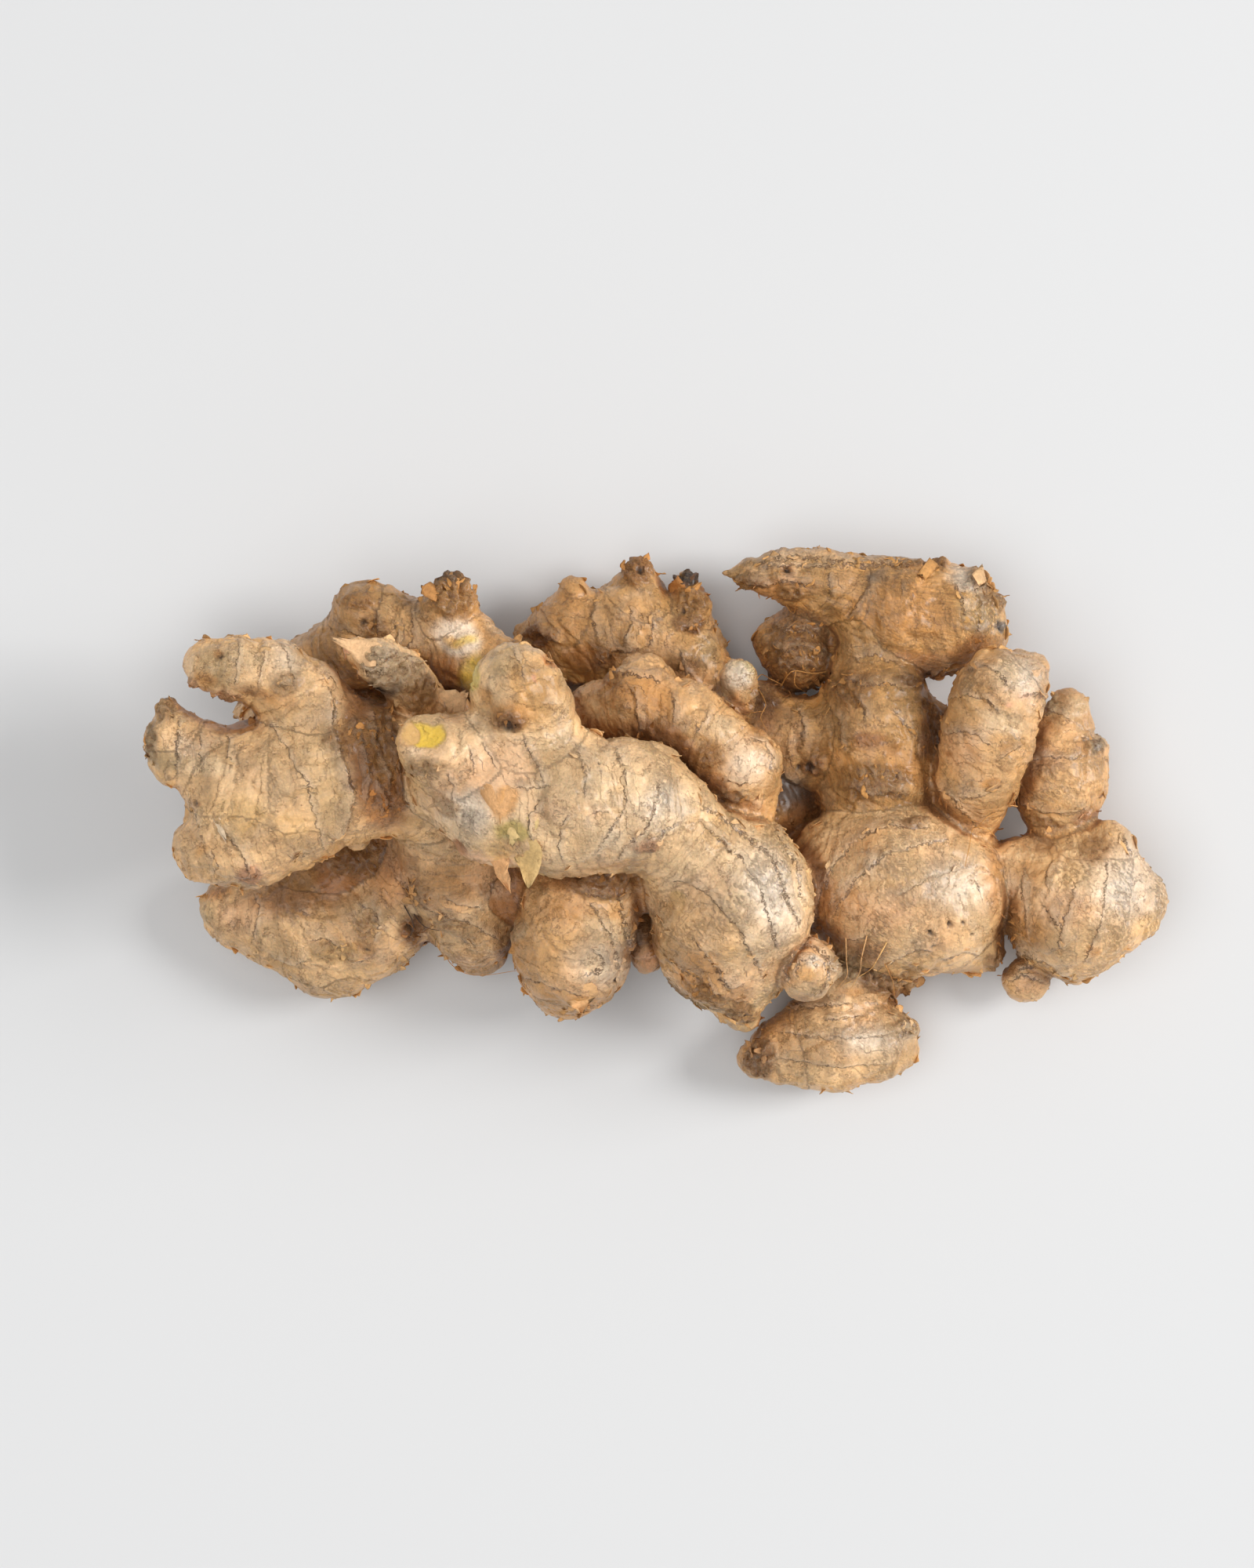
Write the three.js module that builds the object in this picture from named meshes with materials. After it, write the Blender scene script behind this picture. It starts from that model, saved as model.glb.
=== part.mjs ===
// Ginger rhizome: one grown piece, a smooth blend of tapering lobes ("hands" and "fingers").
// Units are mm and +Z is up. The piece lies on z = 0 with its length along X.
import * as THREE from "three";
import { MarchingCubes } from "three/addons/objects/MarchingCubes.js";
import { mergeVertices } from "three/addons/utils/BufferGeometryUtils.js";

// ---- driving dimensions ----
const RHIZOME_LENGTH = 240; // overall length along X
const LAYOUT_LENGTH = 240; // length at which the lobe stations below are written
const SCALE = RHIZOME_LENGTH / LAYOUT_LENGTH;

// ---- surfacing ----
const CELL = 4.9; // edge of a grid cell, in layout mm
const MARGIN = 3 * CELL; // room left round the lobes on every side of the grid
const MAX_TRIANGLES = 40000; // room in the surfacing buffer
const CLEARANCE = 0.14 * CELL; // keeps the skin off the grid corners, so no sliver faces
const FAR_FIELD = 40; // field value where no lobe is near
const GRADIENT_STEP = 0.4; // step of the central differences, mm
const WELD = 1e-3; // vertices closer than this are one
const RELAX_ROUNDS = 4; // rounds of evening out the faces
const RELAX_SHARE = 0.4; // share of the way to the neighbours' middle in a round
const SETTLE_STEPS = 2; // steps onto the skin after each round
const MAX_STEP = 1.2; // longest single move of a vertex, mm

const SKIN_COLOUR = 0xc9a071;
const SKIN_ROUGHNESS = 0.7;

// ---- lobes ----
// A lobe is a chain of stations [x, y, z, radius]. `blend` rounds the valley where it meets the
// lobes before it, and `inner` rounds the valleys between its own segments.
function lobe(name, blend, inner, stations) {
  return { name, blend, inner, stations };
}

// The low core that carries the hands; it is mostly hidden from above.
function hiddenCore() {
  return [
    lobe("core", 2, 3, [
      [-57, 20, 18, 12], [-38.5, 10, 15, 15], [-15, 8, 15, 15], [6.5, 2, 15, 14.5],
      [22.5, 2, 13, 12.5], [34, 5, 9, 9],
    ]),
    lobe("core_left", 2, 3, [
      [-59, 22.5, 17, 11], [-67.5, 28, 15, 9.5], [-74.5, 30.5, 15, 8],
    ]),
    lobe("low_bridge", 2, 3, [
      [-42.5, -12, 28, 11], [-29, -14, 26, 11], [-17, -18.5, 26, 11],
    ]),
    lobe("low_left_shoulder", 2, 3, [
      [-86, -20.5, 14, 9], [-73.5, -10.5, 15, 12.5], [-61, -4, 20, 12],
    ]),
  ];
}

// The big round lobe in front on the right, and the lobe that ends the piece.
function rightHand() {
  return [
    lobe("front_right_lobe", 2, 3, [
      [46, -13.5, 22, 16], [58, -16, 20, 21], [65.5, -17.5, 19, 19],
    ]),
    lobe("front_right_corner_a", 3, 3, [
      [65, -14.5, 20, 15.5], [76.5, -12, 20, 7.5],
    ]),
    lobe("front_right_corner_b", 3, 3, [
      [65.5, -22.5, 18, 14.5], [76.5, -29.5, 15, 7.5],
    ]),
    lobe("right_end_lobe", 1.5, 3, [
      [79.5, -12.5, 18, 8], [93, -13.5, 17, 11], [101, -19.5, 16.5, 17.5],
      [111.5, -20.5, 17, 10.5], [119.5, -22, 17, 3],
    ]),
    lobe("right_end_shoulder", 3, 3, [
      [101, -14.5, 20, 12], [107, -7, 21, 7],
    ]),
    lobe("right_end_foot", 3, 3, [
      [101.5, -26, 15, 12.5], [102.5, -32, 13, 7.5],
    ]),
    lobe("right_end_bud", 0.8, 3, [
      [93.5, -33, 12, 4.5], [90, -39, 11, 5.5],
    ]),
  ];
}

// The highest hand: it runs from the cut finger over the middle and down to the front.
function crownHand() {
  return [
    lobe("head_lobe", 3, 4, [
      [-47, 8, 57, 10], [-35, 5, 59, 14.5], [-21.5, 4, 60, 16], [-8, 3.5, 58, 15],
      [1.5, 1, 54, 11.5], [9, -9, 46, 13], [17.5, -17.5, 41, 19], [17, -28, 35, 16.5],
      [18, -37.5, 27, 9.5], [21, -46, 20, 4.5],
    ]),
    lobe("head_corner", 4, 3, [
      [-4, 8, 58, 9], [3, 14.5, 56, 2.5],
    ]),
    lobe("upper_finger", 6, 3, [
      [-26.5, 12, 62, 11.5], [-30, 23.5, 66, 11], [-32, 30, 70, 10.5],
    ]),
    lobe("cut_finger", 6, 3, [
      [-37, 10, 62, 10.5], [-45.5, 14.5, 66, 9], [-51, 17.5, 69, 7.5],
    ]),
    lobe("under_bud", 0.8, 3, [
      [-15, -8, 48, 5], [-15.5, -10.5, 47, 3.5],
    ]),
  ];
}

// The finger that curves behind the crown, and the knobs in front of it.
function middleFingers() {
  return [
    lobe("middle_finger", 1.5, 3, [
      [-24, 20, 30, 7], [-13, 25, 35, 7], [-3, 27, 39, 9.5], [7, 22.5, 42, 9.5],
      [14, 17, 42, 9], [20, 12, 41, 9], [20, 5, 37, 8.5], [18, -3, 34, 9],
    ]),
    lobe("middle_finger_peak", 3, 3, [
      [-3, 27, 39, 8], [-3, 34, 40, 5],
    ]),
    lobe("middle_finger_nub", 2, 3, [
      [20, 14, 41, 7], [24.5, 14, 41, 4],
    ]),
    lobe("green_bud", 1.5, 3, [
      [18.5, 29, 36, 5], [19.5, 34, 40, 4.5],
    ]),
    lobe("front_knob", 1.5, 3, [
      [-8, -8, 42, 10], [-18, -22, 38, 13.5], [-20, -31, 33, 13.5], [-21, -37.5, 20, 9.5],
      [-19.5, -43.5, 15, 3.5],
    ]),
    lobe("front_nub", 1, 3, [
      [-2, -28.5, 22, 6], [-1, -33.5, 20, 4],
    ]),
  ];
}

// The lobe that reaches forward between the crown and the right hand.
function bottomLobes() {
  return [
    lobe("bottom_lobe", 1.0, 3, [
      [49, -35, 17, 8], [46.5, -43.5, 13, 8], [42.5, -53.5, 12, 12], [51.5, -53, 12, 10.5],
      [56.5, -54.5, 11, 7.5],
    ]),
    lobe("bottom_lobe_left", 3, 3, [
      [42.5, -53.5, 12, 11.5], [32, -55.5, 12, 8], [25, -58, 11, 5],
    ]),
    lobe("bottom_lobe_nub", 1, 3, [
      [55.5, -52.5, 12, 6], [60.5, -50.5, 12, 3.5],
    ]),
    lobe("ragged_edge", 1.5, 3, [
      [51.5, -34, 15, 6], [57.5, -37.5, 13, 3.5], [62, -39.5, 12, 2],
    ]),
    lobe("round_bud", 0.8, 3, [
      [36, -32, 33, 5], [35, -35, 42, 6.5],
    ]),
  ];
}

// The lobe that runs back from the right hand, with the arm to its left.
function upperMiddle() {
  return [
    lobe("upper_mid_lobe", 1.5, 3, [
      [52, -2, 17, 12], [54, 9, 17, 14.5], [53, 19, 17, 15], [53, 29.5, 18, 12],
      [51, 38.5, 18, 8], [51, 46.5, 18, 9],
    ]),
    lobe("upper_mid_nub", 2, 3, [
      [61.5, 23.5, 17, 8], [68.5, 24, 19, 3.5],
    ]),
    lobe("left_arm", 3, 3, [
      [47, 19, 16, 12.5], [35, 18, 13, 11], [26, 20.5, 12, 10], [16.5, 24.5, 12, 9],
    ]),
    lobe("left_arm_tip", 2, 3, [
      [29, 22.5, 12, 8], [26, 29.5, 12, 4.5],
    ]),
  ];
}

// The long pointed stub across the back, and the dark bud under it.
function backRight() {
  return [
    lobe("top_right_body", 2, 3, [
      [49, 53, 18, 9.5], [59.5, 49, 17, 13], [70.5, 48, 15.5, 13], [77, 44, 15, 8],
    ]),
    lobe("long_stub", 3, 3, [
      [49, 53, 19, 9], [41, 56, 19, 8], [31.5, 58, 19, 6.5], [23.5, 58.5, 19, 4],
      [17, 59, 19, 1.5],
    ]),
    lobe("scaly_ball", 1.0, 3, [
      [41, 55, 17, 6], [38, 49, 13, 5], [35, 41, 10, 9.5], [28, 43, 10, 4],
    ]),
  ];
}

// The two upright fingers on the right.
function rightFingers() {
  return [
    lobe("tall_finger", 1.0, 3, [
      [72.5, -5.5, 17, 9], [75, 4, 22, 8.5], [76.5, 11, 27, 10], [78.5, 20, 31, 10.5],
      [80.5, 29, 33, 10], [79.5, 35, 32, 5.5],
    ]),
    lobe("tall_finger_nub", 2, 3, [
      [81, 29, 33, 8], [87, 34, 33, 6],
    ]),
    lobe("short_finger", 0.8, 3, [
      [98, -7.5, 16, 8], [97, 4, 16, 9], [96.5, 10, 16, 11.5], [96.5, 16, 17, 9],
      [97.5, 21, 18, 6.5], [99, 26, 18, 6],
    ]),
    lobe("short_finger_nub", 1.5, 3, [
      [98, 12, 16, 8], [104.5, 16, 16, 3.5],
    ]),
  ];
}

// The peaked lobe in the middle of the back, and the knobbly one on its left.
function backLobes() {
  return [
    lobe("back_centre", 1.5, 3, [
      [-31.5, 45, 10, 3], [-20.5, 43, 11, 10.5], [-6, 44, 12, 12.5], [5.5, 39, 12, 12],
      [10.5, 30.5, 12, 9],
    ]),
    lobe("back_centre_peak_a", 3, 3, [
      [-19.5, 46, 14, 9], [-19.5, 55, 17, 3.5],
    ]),
    lobe("back_centre_peak_b", 3, 3, [
      [-4, 48, 14, 10], [-3.5, 58.5, 18, 3.5],
    ]),
    lobe("back_centre_stub", 2, 3, [
      [6.5, 43, 14, 8], [9, 51, 17, 4.5], [7.5, 57, 18, 3.5],
    ]),
    lobe("back_left", 1.5, 3, [
      [-83.5, 38.5, 20, 6], [-70.5, 41.5, 25, 9.5], [-57.5, 42, 30, 10], [-45, 39, 34, 9.5],
      [-37, 33, 36, 9.5], [-31, 24, 40, 11], [-26, 12, 46, 12],
    ]),
    lobe("back_left_knob", 2, 3, [
      [-68.5, 44.5, 28, 8], [-69, 49, 30, 8],
    ]),
    lobe("back_left_knob_b", 2, 3, [
      [-62.5, 46, 30, 8], [-62.5, 49, 31, 6],
    ]),
    lobe("back_left_torn", 2, 3, [
      [-50, 43, 34, 8], [-48.5, 49.5, 36, 6.5], [-47.5, 54, 37, 3.5],
    ]),
  ];
}

// The raised hand on the left with its two fingers.
function leftHand() {
  return [
    lobe("left_hand", 2, 5, [
      [-51.5, 6, 46, 12], [-61.5, 12, 46, 14], [-73, 11, 48, 15.5], [-84.5, 8, 49, 15.5],
      [-95.5, 8, 49, 13],
    ]),
    lobe("left_hand_low", 4, 4, [
      [-83, 4, 48, 14], [-94.5, -2, 48, 13], [-103.5, -6, 48, 9],
    ]),
    lobe("left_hand_spur", 2, 3, [
      [-95, -6, 46, 8], [-94, -13, 45, 3],
    ]),
    lobe("upper_left_finger", 4, 3, [
      [-73, 20, 50, 11], [-81.5, 28.5, 53, 9], [-89, 34, 55, 8], [-97, 35.5, 56, 7],
      [-102.5, 36, 56, 6.5],
    ]),
    lobe("stub_finger", 4, 3, [
      [-96.5, 12, 49, 10], [-104.5, 15, 50, 7.5], [-110.5, 13.5, 51, 6.5],
    ]),
    lobe("stub_finger_top", 3, 3, [
      [-106.5, 16, 50, 7], [-111, 19, 51, 6.5], [-113, 25, 51, 2.5],
    ]),
    lobe("hidden_bud", 1, 3, [
      [-85.5, 18, 40, 7], [-92.5, 23, 31, 5], [-97, 26, 26, 3.5],
    ]),
    lobe("small_bud", 0.6, 3, [
      [-69.5, -1, 40, 4], [-70, -4.5, 39, 3],
    ]),
    lobe("dry_stump", 1.5, 3, [
      [-51.5, 20, 44, 9], [-55, 28.5, 50, 6], [-58, 33.5, 53, 6], [-63.5, 36.5, 55, 5],
      [-69.5, 39.5, 55, 2.5],
    ]),
    lobe("little_bud", 0.6, 3, [
      [-46.5, 24, 48, 5], [-47, 27.5, 50, 3],
    ]),
  ];
}

// The low lobes under the left hand that it rests on.
function lowerLeft() {
  return [
    lobe("low_left_lobe", 1.5, 3, [
      [-107.5, -20, 13, 2.5], [-100.5, -22.5, 13, 8], [-90, -24.5, 13.5, 11.5],
      [-79.5, -26, 14, 14], [-68.5, -24.5, 15, 13], [-58, -15.5, 20, 12], [-50.5, 0, 28, 12],
    ]),
    lobe("low_left_belly", 3, 3, [
      [-80, -29, 12, 12.5], [-78, -31.5, 11, 11.5],
    ]),
    lobe("low_left_belly_b", 3, 3, [
      [-76, -31, 12, 11.5], [-69, -30, 12, 8.5],
    ]),
    lobe("centre_low_lobe", 1.5, 3, [
      [-47, 0, 38, 14], [-46.5, -12, 28, 13], [-43.5, -22.5, 20, 12], [-42, -31, 14, 7],
    ]),
  ];
}

function allLobes() {
  return [
    ...hiddenCore(),
    ...rightHand(),
    ...crownHand(),
    ...middleFingers(),
    ...bottomLobes(),
    ...upperMiddle(),
    ...backRight(),
    ...rightFingers(),
    ...backLobes(),
    ...leftHand(),
    ...lowerLeft(),
  ];
}

// ---- field ----
function smoothMin(a, b, blend) {
  const overlap = Math.max(blend - Math.abs(a - b), 0) / blend;
  return Math.min(a, b) - overlap * overlap * blend * 0.25;
}

// Distance to the tapering, round-ended segment between two stations.
function segmentField([ax, ay, az, ra], [bx, by, bz, rb]) {
  const axis = new THREE.Vector3(bx - ax, by - ay, bz - az);
  const lengthSq = axis.lengthSq();
  const taper = ra - rb;
  const slopeSq = lengthSq - taper * taper;
  const toPoint = new THREE.Vector3();
  const across = new THREE.Vector3();
  return (x, y, z) => {
    toPoint.set(x - ax, y - ay, z - az);
    const along = toPoint.dot(axis);
    const past = along - lengthSq;
    across.copy(toPoint).multiplyScalar(lengthSq).addScaledVector(axis, -along);
    const acrossSq = across.lengthSq();
    const startSq = along * along * lengthSq;
    const endSq = past * past * lengthSq;
    const limit = Math.sign(taper) * taper * taper * acrossSq;
    if (Math.sign(past) * slopeSq * endSq > limit) {
      return Math.sqrt(acrossSq + endSq) / lengthSq - rb;
    }
    if (Math.sign(along) * slopeSq * startSq < limit) {
      return Math.sqrt(acrossSq + startSq) / lengthSq - ra;
    }
    return (Math.sqrt((acrossSq * slopeSq) / lengthSq) + along * taper) / lengthSq - ra;
  };
}

// The box round a lobe's stations, grown by their radii.
function lobeBox(stations) {
  const box = new THREE.Box3();
  for (const [x, y, z, radius] of stations) {
    const ball = new THREE.Sphere(new THREE.Vector3(x, y, z), radius);
    box.union(ball.getBoundingBox(new THREE.Box3()));
  }
  return box;
}

// Gives a lobe its segments' fields and the box outside which it can't be the nearest.
function prepareLobe({ blend, inner, stations }) {
  const segments = stations.slice(1).map((end, i) => segmentField(stations[i], end));
  const reach = lobeBox(stations).expandByScalar(MARGIN);
  return { blend, inner, segments, reach };
}

// Signed distance to the skin, near enough: negative inside the flesh.
function skinField(lobes) {
  const prepared = lobes.map(prepareLobe);
  const point = new THREE.Vector3();
  return (x, y, z) => {
    point.set(x, y, z);
    let value = FAR_FIELD;
    for (const { blend, inner, segments, reach } of prepared) {
      if (!reach.containsPoint(point)) continue;
      const own = segments.map((field) => field(x, y, z));
      value = smoothMin(value, own.reduce((a, b) => smoothMin(a, b, inner)), blend);
    }
    return value;
  };
}

// ---- surface ----
// Runs the surfacing grid over the field and returns its faces in layout mm.
function surfaceOf(skin, box) {
  const span = box.getSize(new THREE.Vector3());
  const resolution = Math.ceil(Math.max(span.x, span.y, span.z) / CELL) + 1;
  const cubes = new MarchingCubes(resolution, new THREE.Material(), false, false, MAX_TRIANGLES);
  cubes.isolation = 0;
  const { min, max } = box;
  for (let k = 0; k < resolution; k++) {
    for (let j = 0; j < resolution; j++) {
      for (let i = 0; i < resolution; i++) {
        cubes.setCell(i, j, k, -gridValue(skin, min.x + i * CELL, min.y + j * CELL, min.z + k * CELL, max));
      }
    }
  }
  cubes.update();
  const used = cubes.geometry.getAttribute("position").array.slice(0, cubes.count * 3);
  const half = resolution / 2;
  const geometry = new THREE.BufferGeometry();
  geometry.setAttribute("position", new THREE.BufferAttribute(used, 3));
  geometry.translate(1, 1, 1);
  geometry.scale(half * CELL, half * CELL, half * CELL);
  geometry.translate(min.x, min.y, min.z);
  return mergeVertices(geometry, WELD);
}

// The field at a grid corner, kept clear of zero. Corners above the box are far outside.
function gridValue(skin, x, y, z, max) {
  if (x > max.x || y > max.y || z > max.z) return FAR_FIELD;
  const value = skin(x, y, z);
  const sign = value < 0 ? -1 : 1;
  return sign * Math.max(Math.abs(value), CLEARANCE);
}

// Keeps the largest shell: the others are sealed pockets between the lobes.
function keepLargestShell(geometry) {
  const index = geometry.index.array;
  const parent = Array.from({ length: geometry.getAttribute("position").count }, (_, i) => i);
  const rootOf = (i) => {
    while (parent[i] !== i) {
      parent[i] = parent[parent[i]];
      i = parent[i];
    }
    return i;
  };
  for (let f = 0; f < index.length; f += 3) {
    parent[rootOf(index[f + 1])] = rootOf(index[f]);
    parent[rootOf(index[f + 2])] = rootOf(index[f]);
  }
  const shells = new Map();
  for (let f = 0; f < index.length; f += 3) {
    const root = rootOf(index[f]);
    if (!shells.has(root)) shells.set(root, []);
    shells.get(root).push(index[f], index[f + 1], index[f + 2]);
  }
  const largest = [...shells.values()].reduce((a, b) => (b.length > a.length ? b : a));
  geometry.setIndex(largest);
  return mergeVertices(geometry.toNonIndexed(), WELD);
}

// Each vertex's neighbours along the face edges.
function neighboursOf(geometry) {
  const neighbours = Array.from({ length: geometry.getAttribute("position").count }, () => new Set());
  const index = geometry.index.array;
  for (let f = 0; f < index.length; f += 3) {
    for (let corner = 0; corner < 3; corner++) {
      const a = index[f + corner];
      const b = index[f + ((corner + 1) % 3)];
      neighbours[a].add(b);
      neighbours[b].add(a);
    }
  }
  return neighbours.map((set) => [...set]);
}

// Moves a point one step along the field's slope onto the skin.
function settle(point, skin) {
  const { x, y, z } = point;
  const e = GRADIENT_STEP;
  const slope = new THREE.Vector3(
    skin(x + e, y, z) - skin(x - e, y, z),
    skin(x, y + e, z) - skin(x, y - e, z),
    skin(x, y, z + e) - skin(x, y, z - e),
  ).divideScalar(2 * e);
  const steep = Math.max(slope.length(), 0.5);
  const move = slope.multiplyScalar(-skin(x, y, z) / (steep * steep));
  point.add(move.clampLength(0, MAX_STEP));
}

// Evens out the faces and puts every vertex on the skin.
function fairSurface(geometry, skin) {
  const position = geometry.getAttribute("position");
  const neighbours = neighboursOf(geometry);
  const points = neighbours.map((_, i) => new THREE.Vector3().fromBufferAttribute(position, i));
  for (let round = 0; round < RELAX_ROUNDS; round++) {
    const middles = neighbours.map((ring) => {
      const middle = new THREE.Vector3();
      ring.forEach((i) => middle.add(points[i]));
      return middle.divideScalar(ring.length);
    });
    points.forEach((point, i) => point.lerp(middles[i], RELAX_SHARE));
    for (let step = 0; step < SETTLE_STEPS; step++) {
      points.forEach((point) => settle(point, skin));
    }
  }
  points.forEach((point, i) => position.setXYZ(i, point.x, point.y, Math.max(point.z, 0)));
  return geometry;
}

// ---- the part ----
function buildRhizome() {
  const lobes = allLobes();
  const skin = skinField(lobes);
  const box = new THREE.Box3();
  lobes.forEach(({ stations }) => box.union(lobeBox(stations)));
  box.expandByScalar(MARGIN);
  const geometry = fairSurface(keepLargestShell(surfaceOf(skin, box)), skin);
  fitToLength(geometry);
  geometry.computeVertexNormals();
  const material = new THREE.MeshStandardMaterial({
    color: SKIN_COLOUR,
    roughness: SKIN_ROUGHNESS,
    metalness: 0,
  });
  const mesh = new THREE.Mesh(geometry, material);
  mesh.name = "ginger_rhizome";
  return mesh;
}

// Scales the piece to its length and centres it over the origin.
function fitToLength(geometry) {
  geometry.computeBoundingBox();
  const { min, max } = geometry.boundingBox;
  const scale = (SCALE * LAYOUT_LENGTH) / (max.x - min.x);
  geometry.translate(-(min.x + max.x) / 2, -(min.y + max.y) / 2, -min.z);
  geometry.scale(scale, scale, scale);
}

const ginger = new THREE.Group();
ginger.name = "ginger";
ginger.add(buildRhizome());
export default ginger;
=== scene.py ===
"""Looks of a fresh ginger rhizome lying on a table: skin, ring scars, cut face, scales and rootlets.

Lobes are written in millimetres in the layout that the solid is made from: X along the length,
Y across, Z up, with the table at z = 0. Marks on the skin are placed on a plan, which is the
piece as an eye high above it sees it. `LayoutFit` turns the layout into the metres of the frame.
"""

import itertools
import logging
import math
from dataclasses import dataclass, field
from enum import Enum
from typing import Iterable, Iterator, Sequence

import bpy
import numpy as np
import openvdb
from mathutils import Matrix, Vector
from mathutils.bvhtree import BVHTree


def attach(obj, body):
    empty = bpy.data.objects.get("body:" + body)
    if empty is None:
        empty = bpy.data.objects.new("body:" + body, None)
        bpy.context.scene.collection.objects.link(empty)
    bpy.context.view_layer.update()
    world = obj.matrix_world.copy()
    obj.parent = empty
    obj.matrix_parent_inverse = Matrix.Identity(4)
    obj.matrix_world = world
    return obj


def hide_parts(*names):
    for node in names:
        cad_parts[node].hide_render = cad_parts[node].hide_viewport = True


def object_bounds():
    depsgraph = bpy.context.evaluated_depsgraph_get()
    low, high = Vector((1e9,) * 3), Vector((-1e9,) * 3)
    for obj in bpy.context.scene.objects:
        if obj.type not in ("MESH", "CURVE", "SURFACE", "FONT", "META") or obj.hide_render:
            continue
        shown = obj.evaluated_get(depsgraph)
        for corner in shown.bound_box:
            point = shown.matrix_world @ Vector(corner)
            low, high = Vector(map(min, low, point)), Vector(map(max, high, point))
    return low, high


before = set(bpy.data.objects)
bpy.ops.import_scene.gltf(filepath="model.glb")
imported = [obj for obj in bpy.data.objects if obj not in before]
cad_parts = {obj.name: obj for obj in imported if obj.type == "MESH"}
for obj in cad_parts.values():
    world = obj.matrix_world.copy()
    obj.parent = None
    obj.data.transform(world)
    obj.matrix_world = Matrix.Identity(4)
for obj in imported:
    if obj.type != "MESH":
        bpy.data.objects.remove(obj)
CAD_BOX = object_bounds()
CAD_NODE = "ginger_rhizome"
BODY = "root"
MM = 0.001
ALL = slice(None)

log = logging.getLogger("ginger")

Plan2 = tuple[float, float]
Face = tuple[int, ...]
Shape = tuple[list[Vector], list[Face], Sequence[float]]
Socket = bpy.types.NodeSocket


class Tint(Enum):
    """Named skin colours, as linear red, green and blue."""

    PALE = (0.92, 0.62, 0.335)
    TAN = (0.81, 0.46, 0.19)
    ROSY = (0.80, 0.44, 0.21)
    GOLD = (0.87, 0.51, 0.186)
    OCHRE = (0.66, 0.31, 0.08)
    BROWN = (0.62, 0.28, 0.07)
    DARK = (0.35, 0.13, 0.026)
    REDDISH = (0.58, 0.22, 0.045)
    NEAR_BLACK = (0.08, 0.045, 0.025)
    GREYISH = (0.66, 0.42, 0.19)
    SLATE = (0.26, 0.19, 0.13)
    OLIVE = (0.47, 0.28, 0.0791)
    GREEN = (0.64, 0.45, 0.14)
    LIME = (0.82, 0.61, 0.2)
    YELLOW = (0.88, 0.56, 0.06)
    ORANGE = (0.92, 0.45, 0.102)
    PINK = (0.81, 0.39, 0.195)
    CHALK = (0.90, 0.80, 0.64)
    CREAM = (0.95, 0.74, 0.53)
    FAWN = (0.91, 0.57, 0.275)
    CLAY = (0.70, 0.37, 0.122)


class Cut(Enum):
    """How wide and deep a line in the skin is, and how proud its one side stands, in mm."""

    HAIR = (0.25, 0.2, 0.2)
    FINE = (0.35, 0.3, 0.25)
    CRACK = (0.5, 0.45, 0.35)
    SPLIT = (0.65, 0.6, 0.5)
    STEP = (0.45, 0.4, 0.8)


@dataclass(frozen=True)
class Lobe:
    """A finger, knob or bud: a chain of stations joined by tapering, round-ended segments.

    Attributes:
        name: What the lobe is called.
        blend: How far the valley is rounded where it meets the lobes before it, in mm.
        stations: (x, y, z, radius) along the lobe, in mm.
        inner: How far the valleys between its own segments are rounded, in mm.
    """

    name: str
    blend: float
    stations: tuple[tuple[float, float, float, float], ...]
    inner: float = 3.0


@dataclass(frozen=True)
class Scar:
    """A ring scar or crack: a thin dark line along a path on the plan, with one lip raised.

    Attributes:
        path: Points of the line on the plan, in mm. The lip to the left of it is the raised one.
        cut: How strongly it is cut.
    """

    path: tuple[Plan2, ...]
    cut: Cut = Cut.FINE


@dataclass(frozen=True)
class Patch:
    """A tinted area with a ragged edge: mostly a stain; a few are painted highlights and a few painted shade.

    Attributes:
        at: Middle on the plan, in mm.
        size: Half length and half width, in mm.
        tint: Its colour.
        share: How strongly it covers the skin, 0 to 1.
        turn: Direction of its length on the plan, in degrees from X.
        edge: Width of the soft edge, as a share of its size.
    """

    at: Plan2
    size: Plan2
    tint: Tint
    share: float = 0.6
    turn: float = 0.0
    edge: float = 0.6


@dataclass(frozen=True)
class Crust:
    """An area of dry, torn, flaky tissue.

    Attributes:
        at: Middle on the plan, in mm.
        size: Half length and half width, in mm.
        height: How far its ridges stand up, in mm.
        tint: Colour of its flakes.
        turn: Direction of its length on the plan, in degrees from X.
    """

    at: Plan2
    size: Plan2
    height: float = 0.9
    tint: Tint = Tint.BROWN
    turn: float = 0.0


@dataclass(frozen=True)
class Pit:
    """A round hole left by a rootlet.

    Attributes:
        at: Middle on the plan, in mm.
        radius: Its radius, in mm.
        depth: Its depth, in mm.
    """

    at: Plan2
    radius: float = 0.7
    depth: float = 0.8


@dataclass
class Hand:
    """A group of lobes that grew together, with the marks on their upper side.

    Attributes:
        name: What the hand is called.
        lobes: Its lobes, in the order in which they are blended.
        base: Its main skin colour.
        scars, patches, crusts, pits: Its marks.
        fibres: Strength of the lengthwise fibre lines, 0 to 1.
        flakes: Share of its skin that is flaky, 0 to 1.
    """

    name: str = "hand"
    base: Tint = Tint.TAN
    fibres: float = 0.35
    flakes: float = 0.35
    lobes: Sequence[Lobe] = ()
    scars: Sequence[Scar] = ()
    patches: Sequence[Patch] = ()
    crusts: Sequence[Crust] = ()
    pits: Sequence[Pit] = ()


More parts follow.
